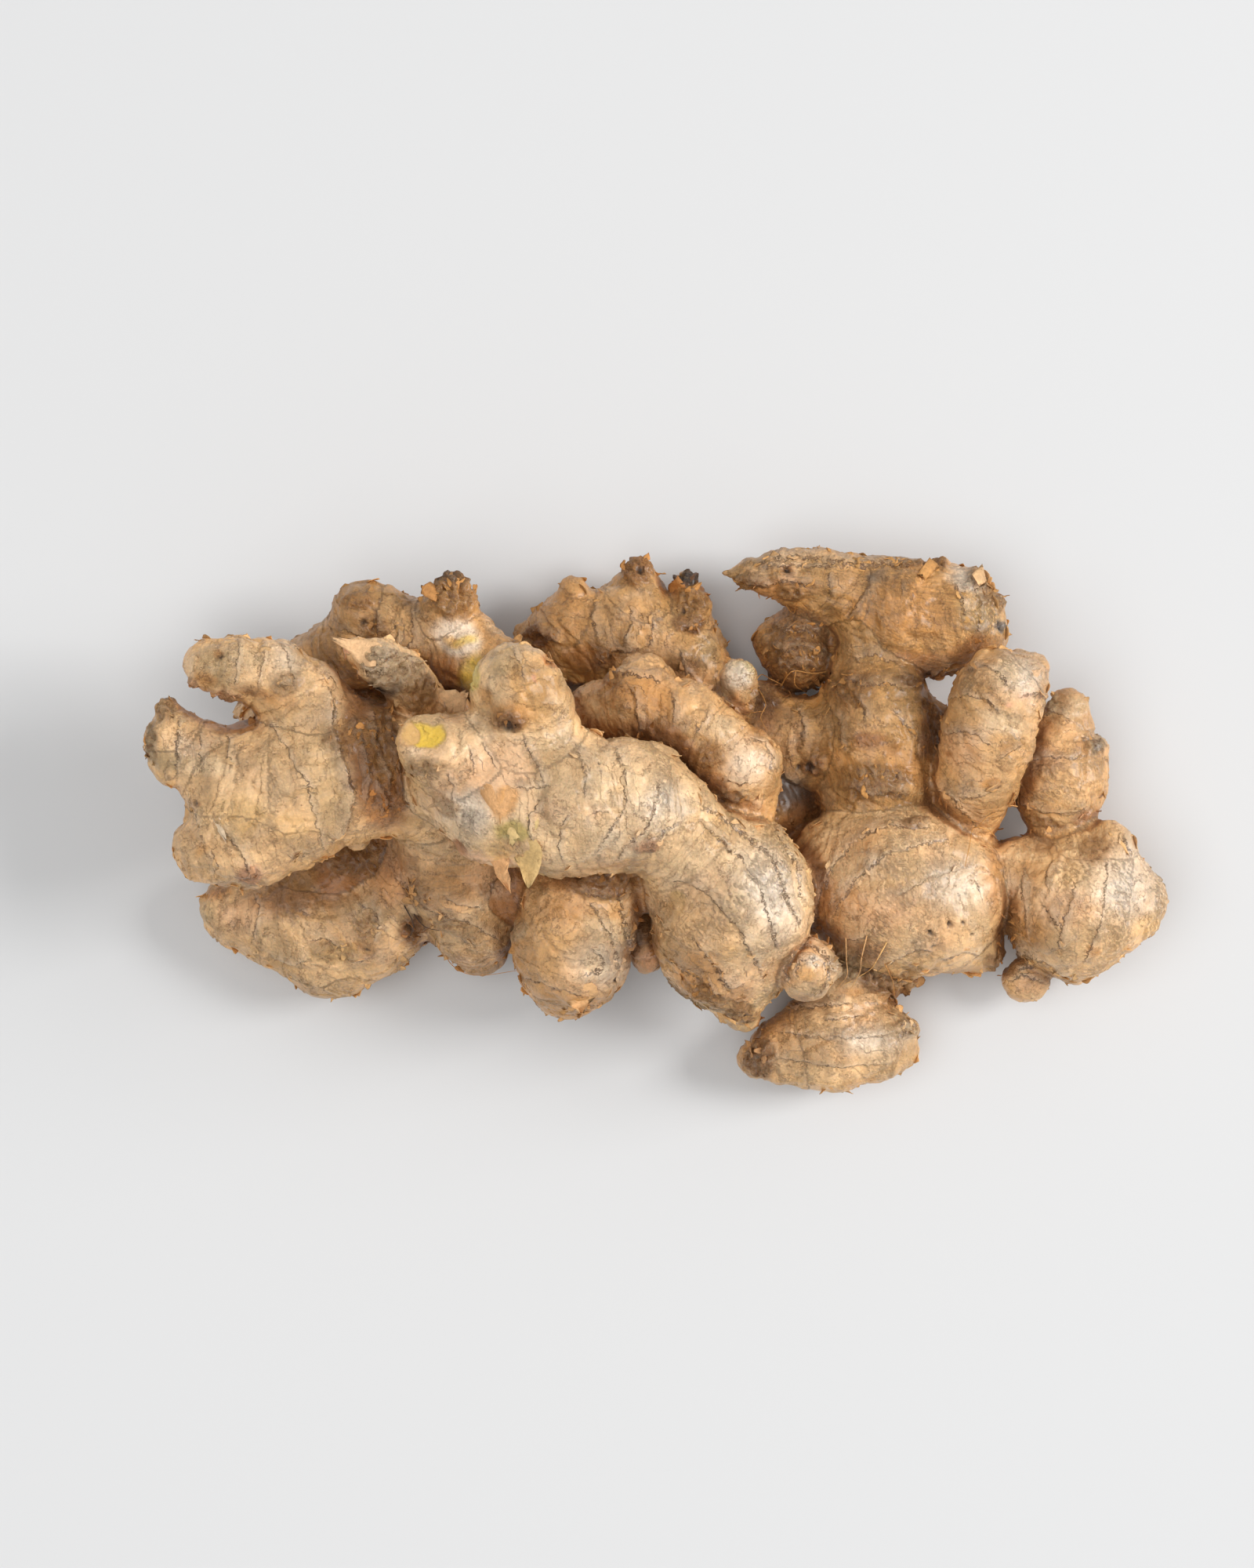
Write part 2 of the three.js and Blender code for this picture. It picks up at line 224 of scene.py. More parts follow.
@dataclass
class HiddenCore(Hand):
    """The low core that carries the hands; its skin is painted dark as shade."""

    name: str = "hidden_core"
    # Painted shade: the whole core is painted dark, as it shows only in the shaded gaps under the hands.
    base: Tint = Tint.DARK
    fibres: float = 0.3
    flakes: float = 0.5
    lobes: Sequence[Lobe] = (
        Lobe("core", 2, ((-57, 20, 18, 12), (-38.5, 10, 15, 15), (-15, 8, 15, 15), (6.5, 2, 15, 14.5),
            (22.5, 2, 13, 12.5), (34, 5, 9, 9))),
        Lobe("core_left", 2, ((-59, 22.5, 17, 11), (-67.5, 28, 15, 9.5), (-74.5, 30.5, 15, 8))),
        Lobe("low_bridge", 2, ((-42.5, -12, 28, 11), (-29, -14, 26, 11), (-17, -18.5, 26, 11))),
        Lobe("low_left_shoulder", 2, ((-86, -20.5, 14, 9), (-73.5, -10.5, 15, 12.5), (-61, -4, 20, 12))),
    )
    scars: Sequence[Scar] = (
        Scar(((-58, -8), (-54, -13), (-44, -19.5)), Cut.CRACK),
    )
    patches: Sequence[Patch] = (
        # Painted shade: the dark valley under the left hand, and the near-black deep gap under the
        # upper-middle lobe.
        Patch((-70, -10), (9, 5), Tint.DARK, 0.5), Patch((32, 8), (7, 7), Tint.NEAR_BLACK, 0.8),
    )
    crusts: Sequence[Crust] = (
        # Partly painted shade: the first crust browns the valley under the left hand as well as roughening
        # it.
        Crust((-70, -9), (11, 5), 0.6), Crust((-67, 27), (8, 6), 0.7),
    )


@dataclass
class RightHand(Hand):
    """The big round lobe in front on the right, and the lobe that ends the piece."""

    name: str = "right_hand"
    base: Tint = Tint.FAWN
    fibres: float = 0.22
    flakes: float = 0.22
    lobes: Sequence[Lobe] = (
        Lobe("front_right_lobe", 2, ((46, -13.5, 22, 16), (58, -16, 20, 21), (65.5, -17.5, 19, 19))),
        Lobe("front_right_corner_a", 3, ((65, -14.5, 20, 15.5), (76.5, -12, 20, 7.5))),
        Lobe("front_right_corner_b", 3, ((65.5, -22.5, 18, 14.5), (76.5, -29.5, 15, 7.5))),
        Lobe("right_end_lobe", 1.5, ((79.5, -12.5, 18, 8), (93, -13.5, 17, 11),
            (101, -19.5, 16.5, 17.5), (111.5, -20.5, 17, 10.5), (119.5, -22, 17, 3))),
        Lobe("right_end_shoulder", 3, ((101, -14.5, 20, 12), (107, -7, 21, 7))),
        Lobe("right_end_foot", 3, ((101.5, -26, 15, 12.5), (102.5, -32, 13, 7.5))),
        Lobe("right_end_bud", 0.8, ((93.5, -33, 12, 4.5), (90, -39, 11, 5.5))),
    )
    scars: Sequence[Scar] = (
        Scar(((40, -17), (41.5, -11), (45.5, -6), (50, -3), (55, -1.5), (65, -1.5))),
        Scar(((42.5, -21.5), (47, -14), (53.5, -8.5), (63.5, -5), (69.5, -4.5))),
        Scar(((57, -18.5), (63.5, -14), (72.5, -11.5)), Cut.HAIR),
        Scar(((38.5, -26), (38, -20), (41.5, -10))),
        Scar(((51, -36), (62.5, -30.5), (65.5, -31.5)), Cut.CRACK),
        Scar(((67.5, -33), (72, -31), (76, -31.5), (79, -29))),
        Scar(((43, -27), (47, -28), (51, -27.5)), Cut.HAIR), Scar(((76, -14.5), (77, -19)), Cut.HAIR),
        Scar(((91.5, -20), (95, -25.5)), Cut.CRACK),
        Scar(((99, -14), (98, -18.5), (95, -27), (95.5, -31))),
        Scar(((93.5, -9), (92, -13), (92.5, -17)), Cut.HAIR), Scar(((86.5, -12), (86, -17), (87.5, -27))),
        Scar(((106.5, -9), (105.5, -21), (104, -27), (100.5, -33)), Cut.HAIR),
        Scar(((109, -3), (112, -9)), Cut.CRACK),
        Scar(((83.5, -31.5), (91.5, -33.5), (97, -37.5)), Cut.SPLIT),
        Scar(((85, -35.5), (87.5, -34.5), (90.5, -35))), Scar(((83.5, -38), (86, -36.5), (91.5, -38.5))),
    )
    patches: Sequence[Patch] = (
        # Partly painted shadow: the left side of the front right lobe is reddened both as its own colour and
        # as painted shadow.
        Patch((41, -19), (5, 12), Tint.REDDISH, 0.45, 80, 0.8),
        Patch((48, -4), (9, 4), Tint.BROWN, 0.4, 20, 0.8), Patch((60, -0.5), (3, 1.3), Tint.BROWN, 0.8),
        # Painted highlight: the cream patch on the right slope of the front right lobe.
        Patch((71.5, -15), (9, 7), Tint.CREAM, 0.65, 0, 1.0),
        Patch((55, -22), (10, 6), Tint.ROSY, 0.6, 20, 0.8), Patch((50, -31), (6, 3), Tint.DARK, 0.55),
        Patch((79.5, -13), (2.6, 10), Tint.REDDISH, 0.45), Patch((88, -26), (5.5, 4.5), Tint.BROWN, 0.75),
        Patch((91, -5.5), (3.2, 2), Tint.DARK, 0.5), Patch((85, -12), (3, 9), Tint.OCHRE, 0.5, 90),
        Patch((97, -20), (5, 8), Tint.ROSY, 0.6, 80), Patch((103, -30.5), (1.8, 1.2), Tint.BROWN, 0.8),
        Patch((105, -5.5), (5, 4), Tint.BROWN, 0.45),
        # Painted highlight: the cream patch on the right slope of the end lobe.
        Patch((111, -15), (9, 10), Tint.CREAM, 0.75, 0, 1.0),
        Patch((116, -25), (5, 3), Tint.GOLD, 0.5, 30), Patch((88, -38.5), (3.5, 2.5), Tint.ROSY, 0.5),
    )
    crusts: Sequence[Crust] = (
        Crust((57, -38.5), (5.5, 2.2), 1.0, Tint.BROWN, 25),
        Crust((80.5, -33.5), (3.2, 3.4), 0.9, Tint.DARK), Crust((103.5, -6), (4.5, 4), 0.35),
        Crust((44.5, -33), (3.6, 4.6), 1.0, Tint.GREYISH, 70), Crust((61.5, -0.3), (3.5, 1.2), 0.5),
        Crust((90, -3), (4, 1.4), 0.4, Tint.DARK, -25),
    )
    pits: Sequence[Pit] = (
        Pit((64.8, -26.6), 0.75, 1.1), Pit((69.6, -24.6), 0.75, 1.1), Pit((72.7, -24.2), 0.5, 0.7),
        Pit((74.1, -26.6), 0.5, 0.5), Pit((65.4, -30), 0.5, 0.6), Pit((62.3, -35.2), 0.5, 0.6),
    )


@dataclass
class CrownHand(Hand):
    """The highest hand, from the cut finger over the middle and down to the front."""

    name: str = "crown_hand"
    base: Tint = Tint.PALE
    fibres: float = 0.3
    flakes: float = 0.3
    lobes: Sequence[Lobe] = (
        Lobe("head_lobe", 3, ((-47, 8, 57, 10), (-35, 5, 59, 14.5), (-21.5, 4, 60, 16),
            (-8, 3.5, 58, 15), (1.5, 1, 54, 11.5), (9, -9, 46, 13), (17.5, -17.5, 41, 19),
            (17, -28, 35, 16.5), (18, -37.5, 27, 9.5), (21, -46, 20, 4.5)), 4),
        Lobe("head_corner", 4, ((-4, 8, 58, 9), (3, 14.5, 56, 2.5))),
        Lobe("upper_finger", 6, ((-26.5, 12, 62, 11.5), (-30, 23.5, 66, 11), (-32, 30, 70, 10.5))),
        Lobe("cut_finger", 6, ((-37, 10, 62, 10.5), (-45.5, 14.5, 66, 9), (-51, 17.5, 69, 7.5))),
        Lobe("under_bud", 0.8, ((-15, -8, 48, 5), (-15.5, -10.5, 47, 3.5))),
    )
    scars: Sequence[Scar] = (
        Scar(((-31, 19.5), (-26, 8.5))), Scar(((-33, 7.5), (-24, 8))),
        Scar(((-18.5, 17.5), (-16, 9), (-17, 4.5))),
        Scar(((-9.5, 17.5), (-7, 11), (-7, 3), (-14.5, -8.5))),
        Scar(((1, 9), (1, 5), (-1.5, -1), (-9.5, -9.5))), Scar(((5, -0.5), (0.5, -4), (-3, -4.5))),
        Scar(((-15, 1.5), (-13, 2.5), (-10.5, 2)), Cut.HAIR),
        Scar(((-20, 2), (-22, -1.5), (-23, -6), (-21.5, -10)), Cut.HAIR),
        Scar(((-27, 5), (-29.5, 1.5), (-30, -2.5), (-28, -5.5)), Cut.HAIR),
        Scar(((-40.5, 18), (-37.5, 12.5)), Cut.HAIR), Scar(((-44, 17.5), (-42.5, 11.5)), Cut.HAIR),
        Scar(((-49, 11), (-47.5, 8), (-48, 4.5)), Cut.HAIR),
        Scar(((10.5, -1), (20, -9.5), (25, -16.5), (29, -31))),
        Scar(((11, 3), (21, -3), (27.5, -9), (33.5, -24.5)), Cut.CRACK),
        Scar(((28, -0.5), (33, -9), (34.5, -19))), Scar(((11.5, -16.5), (20, -26), (25, -36.5))),
        Scar(((9, -27), (18, -41)), Cut.SPLIT), Scar(((-5, -15.5), (-3, -20.5), (2, -25.5)), Cut.CRACK),
        Scar(((3.5, -14), (12.5, -16.5)), Cut.HAIR),
        Scar(((2.5, -33.5), (5, -33.5), (10.5, -38.5)), Cut.CRACK), Scar(((12, -36.5), (14, -42))),
        Scar(((17, -38.5), (19, -40), (21, -38.5))),
        Scar(((-34, 40.5), (-31.5, 37), (-30.5, 33)), Cut.HAIR), Scar(((-25.5, 38), (-22, 36))),
    )
    patches: Sequence[Patch] = (
        Patch((-46, 6), (9, 9), Tint.ROSY), Patch((-36, 12), (9, 8), Tint.ROSY, 0.55),
        Patch((-29, 30), (9, 11), Tint.CLAY, 0.8), Patch((-45, 1), (8, 6), Tint.CREAM, 0.8),
        Patch((-35.5, 4), (4.6, 3.2), Tint.OCHRE, 0.8, 55, 0.35),
        Patch((-33.5, -2.6), (4.6, 2.6), Tint.GREEN, 0.85, 0, 0.35),
        Patch((-28, -14), (4.6, 4), Tint.OLIVE, 0.35, 20), Patch((-37, -7.5), (3.4, 2.4), Tint.GOLD, 0.7),
        Patch((-43.6, 34), (1.9, 4.2), Tint.LIME, 0.95, -10, 0.4),
        Patch((-40.4, 29), (2.2, 3), Tint.OCHRE, 0.7, 30),
        Patch((-37, 37), (3.2, 3.6), Tint.GREYISH, 0.75),
        Patch((-24.6, 37.2), (2.8, 0.9), Tint.REDDISH, 0.9, -38, 0.3),
        Patch((-28.2, 33.6), (0.7, 1.1), Tint.PINK, 0.9, 0, 0.4),
        Patch((-34.5, 24.5), (6.2, 4), Tint.BROWN, 0.75),
        Patch((-47, -3.5), (6.5, 4), Tint.PALE, 0.7, -35),
        Patch((-46, -6.4), (2.6, 1.2), Tint.DARK, 0.8, -30, 0.3),
        Patch((-43, -8.6), (4.6, 2.2), Tint.PINK, 0.4, -10),
        # Painted highlight: the cream patch on the top of the crown.
        Patch((1.4, 3.5), (6, 6), Tint.CREAM, 0.6, 0, 1.0),
        Patch((-1, -6), (4, 2), Tint.REDDISH, 0.4, 10),
        Patch((5, -20), (1.9, 3.3), Tint.OLIVE, 0.8, 0, 0.3),
        Patch((16.4, -32), (2.8, 2.4), Tint.OLIVE, 0.6, 30, 0.4),
        # Painted highlight: the first patch below, in cream, on the right slope of the crown's front lobe.
        Patch((27, -18), (7, 12), Tint.CREAM, 0.8, 20, 1.0), Patch((12, -27), (9, 10), Tint.TAN, 0.7),
        Patch((10, -37), (9, 6), Tint.BROWN, 0.65, -30), Patch((0, -22), (6, 9), Tint.TAN, 0.7, 60),
        Patch((20, -41), (4, 3), Tint.DARK, 0.45), Patch((-8, -10.5), (6, 1.6), Tint.BROWN, 0.5),
    )
    crusts: Sequence[Crust] = (
        Crust((-34.6, 22.8), (4.2, 2.8), 1.0, Tint.DARK, -10), Crust((20.4, -45), (4, 3), 1.0),
        Crust((-49, 3), (2.4, 4), 0.4, Tint.TAN, 60), Crust((-36, -16), (6, 3), 0.5, Tint.ROSY, -20),
        Crust((-2, -6.4), (3.6, 1.8), 0.4, Tint.PINK), Crust((-54, 12.6), (5.6, 2.6), 0.5, Tint.TAN),
        Crust((12, -41), (6, 2.4), 0.6, Tint.BROWN, -20),
    )
    pits: Sequence[Pit] = (
        Pit((-34.6, 21.6), 1.7, 1.6), Pit((-13, 13.6), 0.4, 0.5),
    )


@dataclass
class MiddleFingers(Hand):
    """The finger that curves behind the crown, and the knobs in front of it."""

    name: str = "middle_fingers"
    base: Tint = Tint.TAN
    fibres: float = 0.3
    flakes: float = 0.3
    lobes: Sequence[Lobe] = (
        Lobe("middle_finger", 1.5, ((-24, 20, 30, 7), (-13, 25, 35, 7), (-3, 27, 39, 9.5),
            (7, 22.5, 42, 9.5), (14, 17, 42, 9), (20, 12, 41, 9), (20, 5, 37, 8.5), (18, -3, 34, 9))),
        Lobe("middle_finger_peak", 3, ((-3, 27, 39, 8), (-3, 34, 40, 5))),
        Lobe("middle_finger_nub", 2, ((20, 14, 41, 7), (24.5, 14, 41, 4))),
        Lobe("green_bud", 1.5, ((18.5, 29, 36, 5), (19.5, 34, 40, 4.5))),
        Lobe("front_knob", 1.5, ((-8, -8, 42, 10), (-18, -22, 38, 13.5), (-20, -31, 33, 13.5),
            (-21, -37.5, 20, 9.5), (-19.5, -43.5, 15, 3.5))),
        Lobe("front_nub", 1, ((-2, -28.5, 22, 6), (-1, -33.5, 20, 4))),
    )
    scars: Sequence[Scar] = (
        Scar(((-11, 33), (-7.5, 34.5), (-3, 34), (1, 32))), Scar(((-6.5, 31.5), (-4.5, 28), (-4, 20))),
        Scar(((3.5, 30.5), (4.5, 27), (4, 23)), Cut.HAIR), Scar(((12.5, 26), (9.5, 19.5))),
        Scar(((22.5, 19.5), (25.5, 18), (27.5, 14.5), (27, 11)), Cut.HAIR),
        Scar(((16.5, 9), (20, 8), (23.5, 9)), Cut.HAIR), Scar(((14.5, 3.5), (16.5, 5), (18.5, 4))),
        Scar(((19, 3.5), (20.5, 5), (22.5, 4))), Scar(((-8.5, -17), (-5.5, -31)), Cut.SPLIT),
        Scar(((-15.5, -19), (-10, -27.5), (-8.5, -35.5))),
        Scar(((-15, -30.5), (-12.5, -32.5), (-12, -35), (-17.5, -37))),
        Scar(((-32.5, -37.5), (-17, -41.5))), Scar(((-18.5, -17), (-10, -18.5)), Cut.CRACK),
    )
    patches: Sequence[Patch] = (
        # Painted shadow: the first patch below darkens the middle finger where it lies in shade.
        Patch((-2, 21), (9, 3.6), Tint.DARK, 0.5), Patch((-12, 26.5), (5, 4), Tint.GREYISH, 0.5),
        # Painted highlight: the second patch below, in cream, on the middle finger's nub.
        Patch((13, 14), (5, 4), Tint.BROWN), Patch((21, 13.4), (5.6, 5.6), Tint.CREAM, 0.6, 0, 1.0),
        Patch((14, 4), (1.9, 1.4), Tint.REDDISH, 0.85, 0, 0.3), Patch((16, 22), (4, 3.4), Tint.PALE),
        Patch((21, 36), (3.4, 3.4), Tint.LIME, 0.7, 0, 0.7), Patch((17, 31), (3, 3), Tint.GREYISH, 0.5),
        Patch((19.5, 34.5), (4, 4), Tint.CREAM, 0.8), Patch((-24, -30), (9, 8), Tint.CLAY, 0.5),
        # Painted highlight: the cream patch on the front knob.
        Patch((-13, -34), (8, 7), Tint.CREAM, 0.6, 0, 1.0),
        # Painted shade: the second patch below darkens the valley under the crown's front edge.
        Patch((-3, 30), (10, 6), Tint.BROWN, 0.75, -15), Patch((-11, -14), (10, 4), Tint.DARK, 0.8),
        Patch((-22, -21), (7, 3.6), Tint.BROWN, 0.5), Patch((-11, -26), (3, 7), Tint.PALE, 0.7, 80),
        Patch((-14, -34), (3, 3), Tint.PALE, 0.5), Patch((-1.6, -33), (3, 3), Tint.PINK, 0.5),
        Patch((-20, -41), (7, 3), Tint.BROWN, 0.45), Patch((25.6, 24), (4, 4), Tint.DARK, 0.7),
    )
    crusts: Sequence[Crust] = (
        # Partly painted shade: the first crust below browns the same valley as well as roughening it.
        Crust((-11, -15), (10, 4)), Crust((13, 15), (4, 3.6), 0.35), Crust((17, 5), (5, 2.2), 0.5),
        Crust((-33, -26), (2.4, 3), 0.5, Tint.PALE), Crust((24, 27.6), (2, 5), 0.9, Tint.DARK),
        Crust((-10, 33.6), (2.6, 2.4), 0.4),
    )
    pits: Sequence[Pit] = (
        Pit((14, 4), 0.7, 0.4), Pit((-9.2, -37.6), 0.7, 0.7),
    )


@dataclass
class BottomLobes(Hand):
    """The lobe that reaches forward between the crown and the right hand."""

    name: str = "bottom_lobes"
    base: Tint = Tint.FAWN
    fibres: float = 0.25
    flakes: float = 0.35
    lobes: Sequence[Lobe] = (
        Lobe("bottom_lobe", 1, ((49, -35, 17, 8), (46.5, -43.5, 13, 8), (42.5, -53.5, 12, 12),
            (51.5, -53, 12, 10.5), (56.5, -54.5, 11, 7.5))),
        Lobe("bottom_lobe_left", 3, ((42.5, -53.5, 12, 11.5), (32, -55.5, 12, 8), (25, -58, 11, 5))),
        Lobe("bottom_lobe_nub", 1, ((55.5, -52.5, 12, 6), (60.5, -50.5, 12, 3.5))),
        Lobe("ragged_edge", 1.5, ((51.5, -34, 15, 6), (57.5, -37.5, 13, 3.5), (62, -39.5, 12, 2))),
        Lobe("round_bud", 0.8, ((36, -32, 33, 5), (35, -35, 42, 6.5))),
    )
    scars: Sequence[Scar] = (
        Scar(((31, -44.5), (46, -43))), Scar(((39.5, -46.5), (43, -47), (49.5, -45.5))),
        Scar(((29, -50), (41, -51.5), (55, -50.5))), Scar(((29, -56), (43, -58.5), (56, -57)), Cut.HAIR),
        Scar(((57, -46.5), (58, -49), (57.5, -52)), Cut.CRACK),
        Scar(((59.5, -46.5), (60, -49)), Cut.CRACK),
        Scar(((31.5, -38.5), (30.5, -35.5), (31.5, -32.5), (34, -30), (36.5, -30), (39, -31.5),
              (40.5, -35), (39.5, -38.5), (37, -40.5)), Cut.CRACK),
        Scar(((33.5, -37.5), (33, -35.5), (34, -33), (37, -33), (38.5, -35))),
    )
    patches: Sequence[Patch] = (
        # Painted highlight: the first patch below, in cream, on the bottom lobe.
        Patch((50, -52), (9, 4), Tint.CREAM, 0.75, 0, 1.0), Patch((36, -43), (6, 2.4), Tint.DARK, 0.4),
        Patch((46, -40.6), (4, 1.2), Tint.BROWN), Patch((30, -49), (6, 5), Tint.BROWN, 0.5),
        Patch((35.4, -36.2), (2.8, 2.2), Tint.ORANGE, 0.45),
        Patch((37.4, -33.4), (2, 1.6), Tint.CHALK, 0.5), Patch((35, -40), (4, 1.6), Tint.PALE, 0.5),
        Patch((36, -53), (9, 6), Tint.TAN),
    )
    crusts: Sequence[Crust] = (
        Crust((24.6, -56), (4.4, 5), 1.1, Tint.DARK), Crust((44.4, -34), (3.6, 5), 1.0, Tint.GREYISH, 70),
        Crust((52, -38), (4, 3), 1.1, Tint.DARK, -35), Crust((58.6, -49), (2, 4), 0.6, Tint.PALE, 90),
        Crust((58, -39.6), (5, 2), 1.1, Tint.BROWN, 25),
    )
    pits: Sequence[Pit] = (
        Pit((50.6, -34.8), 1.4, 1.8),
    )


@dataclass
class UpperMiddle(Hand):
    """The lobe that runs back from the right hand, with the arm on its left."""

    name: str = "upper_middle"
    base: Tint = Tint.CLAY
    fibres: float = 0.55
    flakes: float = 0.55
    lobes: Sequence[Lobe] = (
        Lobe("upper_mid_lobe", 1.5, ((52, -2, 17, 12), (54, 9, 17, 14.5), (53, 19, 17, 15),
            (53, 29.5, 18, 12), (51, 38.5, 18, 8), (51, 46.5, 18, 9))),
        Lobe("upper_mid_nub", 2, ((61.5, 23.5, 17, 8), (68.5, 24, 19, 3.5))),
        Lobe("left_arm", 3, ((47, 19, 16, 12.5), (35, 18, 13, 11), (26, 20.5, 12, 10),
            (16.5, 24.5, 12, 9))),
        Lobe("left_arm_tip", 2, ((29, 22.5, 12, 8), (26, 29.5, 12, 4.5))),
    )
    scars: Sequence[Scar] = (
        Scar(((36, 14.5), (35.5, 11.5), (38, 10.5)), Cut.CRACK),
        Scar(((47, 29), (49, 26.5), (49.5, 23.5))), Scar(((56, 26), (60.5, 20))),
        Scar(((62, 21), (62, 14.5))), Scar(((45, 7.5), (50, 6), (60, 6)), Cut.CRACK),
        Scar(((33, 27.5), (35, 23), (34, 18.5))), Scar(((41, 26), (43.5, 22), (43, 17.5))),
        Scar(((46, 38), (52, 39.5), (57, 37))), Scar(((44, 33.5), (49, 31.5), (55, 32.5), (60, 30))),
        Scar(((50.5, 12.5), (51.5, 9.5))), Scar(((54, 12.5), (54, 9))), Scar(((47.5, 12), (49, 9))),
        Scar(((57.5, 11.5), (56.5, 9))), Scar(((28, 11.5), (34, 8)), Cut.CRACK),
    )
    patches: Sequence[Patch] = (
        Patch((50, 18.4), (4.6, 2.6), Tint.DARK, 0.75, 0, 0.5),
        Patch((56, 16.6), (2.6, 1.8), Tint.DARK, 0.5), Patch((52, 10), (11, 8), Tint.OCHRE, 0.5),
        Patch((62, 12), (3.6, 7), Tint.BROWN, 0.6, 90), Patch((40, 14), (5, 6), Tint.BROWN, 0.5),
        # Painted shadow: the last patch below is near black in the deep gap between this lobe and the crown.
        Patch((54, 25), (5, 4), Tint.TAN, 0.45), Patch((31, 6), (6, 6), Tint.NEAR_BLACK, 0.8),
        Patch((50, 34), (8, 4), Tint.OCHRE, 0.5), Patch((26, 25), (4, 5), Tint.DARK),
        Patch((67, 24), (3, 3), Tint.DARK, 0.4),
    )
    crusts: Sequence[Crust] = (
        Crust((46, 31), (7, 5), 0.5), Crust((37, 12.6), (3, 2.4), 0.5, Tint.REDDISH),
        Crust((26, 29), (4, 4), 0.9, Tint.DARK), Crust((60, 32.4), (4, 1.6), 0.6, Tint.DARK, -20),
        Crust((51, 9), (9, 5), 0.4, Tint.OCHRE), Crust((64, 26.6), (2, 4), 0.6, Tint.DARK, 60),
    )
    pits: Sequence[Pit] = (
        Pit((36.2, 12.6), 1.1, 1.2), Pit((33.6, 12.2), 0.8, 0.8),
    )


@dataclass
class BackRight(Hand):
    """The long pointed stub across the back, and the dark bud under it."""

    name: str = "back_right"
    base: Tint = Tint.CLAY
    fibres: float = 0.75
    flakes: float = 0.35
    lobes: Sequence[Lobe] = (
        Lobe("top_right_body", 2, ((49, 53, 18, 9.5), (59.5, 49, 17, 13), (70.5, 48, 15.5, 13),
            (77, 44, 15, 8))),
        Lobe("long_stub", 3, ((49, 53, 19, 9), (41, 56, 19, 8), (31.5, 58, 19, 6.5),
            (23.5, 58.5, 19, 4), (17, 59, 19, 1.5))),
        Lobe("scaly_ball", 1, ((41, 55, 17, 6), (38, 49, 13, 5), (35, 41, 10, 9.5), (28, 43, 10, 4))),
    )
    scars: Sequence[Scar] = (
        Scar(((21, 60), (34, 62), (50, 59.5), (60, 59.5)), Cut.CRACK),
        Scar(((24, 58.5), (30, 60), (45, 59.5))),
        Scar(((20, 55.5), (26, 54.5), (31, 56), (37, 55)), Cut.CRACK),
        Scar(((40.5, 59), (41, 52)), Cut.HAIR), Scar(((50.5, 58), (50, 54.5), (45, 47))),
        Scar(((57.5, 56.5), (58, 53)), Cut.HAIR), Scar(((74, 56), (76.5, 52), (77, 47.5), (75.5, 43.5))),
        Scar(((70.5, 55.5), (72.5, 51), (72.5, 46))), Scar(((44, 41), (52, 40)), Cut.HAIR),
        Scar(((56, 36), (60, 34.5), (66, 34), (70.5, 36.5)), Cut.SPLIT),
        Scar(((27, 46), (31, 44.5), (35.5, 45), (39.5, 43)), Cut.SPLIT),
        Scar(((26.5, 41), (30, 39.5), (34, 41), (38, 39), (40, 36.5)), Cut.SPLIT),
        Scar(((28, 37), (31.5, 35.5), (35.5, 36.5), (38.5, 34.5)), Cut.CRACK),
    )
    patches: Sequence[Patch] = (
        Patch((47.5, 47), (5, 6), Tint.OCHRE), Patch((30, 54.6), (8, 3), Tint.REDDISH, 0.45),
        Patch((36, 60.8), (10, 2), Tint.TAN, 0.45, -4), Patch((59, 50), (15, 9), Tint.BROWN, 0.75),
        Patch((77, 48.6), (4, 7), Tint.GOLD, 0.6, 60), Patch((73, 56.6), (5, 2.6), Tint.CREAM, 0.75, -35),
        Patch((52, 57.4), (3, 1.6), Tint.SLATE, 0.5),
        # Painted shade: the slate patch darkens the hole at the right end of the back body.
        Patch((81.2, 45.6), (1.5, 1.5), Tint.SLATE, 0.95, 0, 0.4),
        Patch((62, 37), (9, 3), Tint.REDDISH, 0.7), Patch((55, 42), (3, 2.4), Tint.OCHRE, 0.5),
        Patch((33.5, 41), (8, 9), Tint.BROWN, 0.7), Patch((30, 36), (5, 4), Tint.DARK),
        # Painted shade: the last patch below darkens the knot hole in the long stub.
        Patch((18, 58), (3, 2.4), Tint.GREYISH, 0.5), Patch((31, 58.7), (2, 1.8), Tint.DARK, 0.7),
    )
    crusts: Sequence[Crust] = (
        Crust((66.4, 60), (2.6, 1.5)), Crust((76.4, 57), (3.4, 3), 1.0, Tint.TAN, -30),
        Crust((33.5, 40.5), (9, 9), 0.5), Crust((22, 56), (5, 2.6), 0.7), Crust((32, 53.4), (4, 2.4)),
        Crust((60, 59.8), (4, 1), 0.5), Crust((79.6, 52), (1.6, 4), 0.6, Tint.TAN, 90),
        Crust((64, 34), (6, 2), 0.7, Tint.DARK),
    )
    pits: Sequence[Pit] = (
        Pit((31, 58.8), 1.0, 1.4), Pit((81, 45.6), 0.9, 0.9),
    )


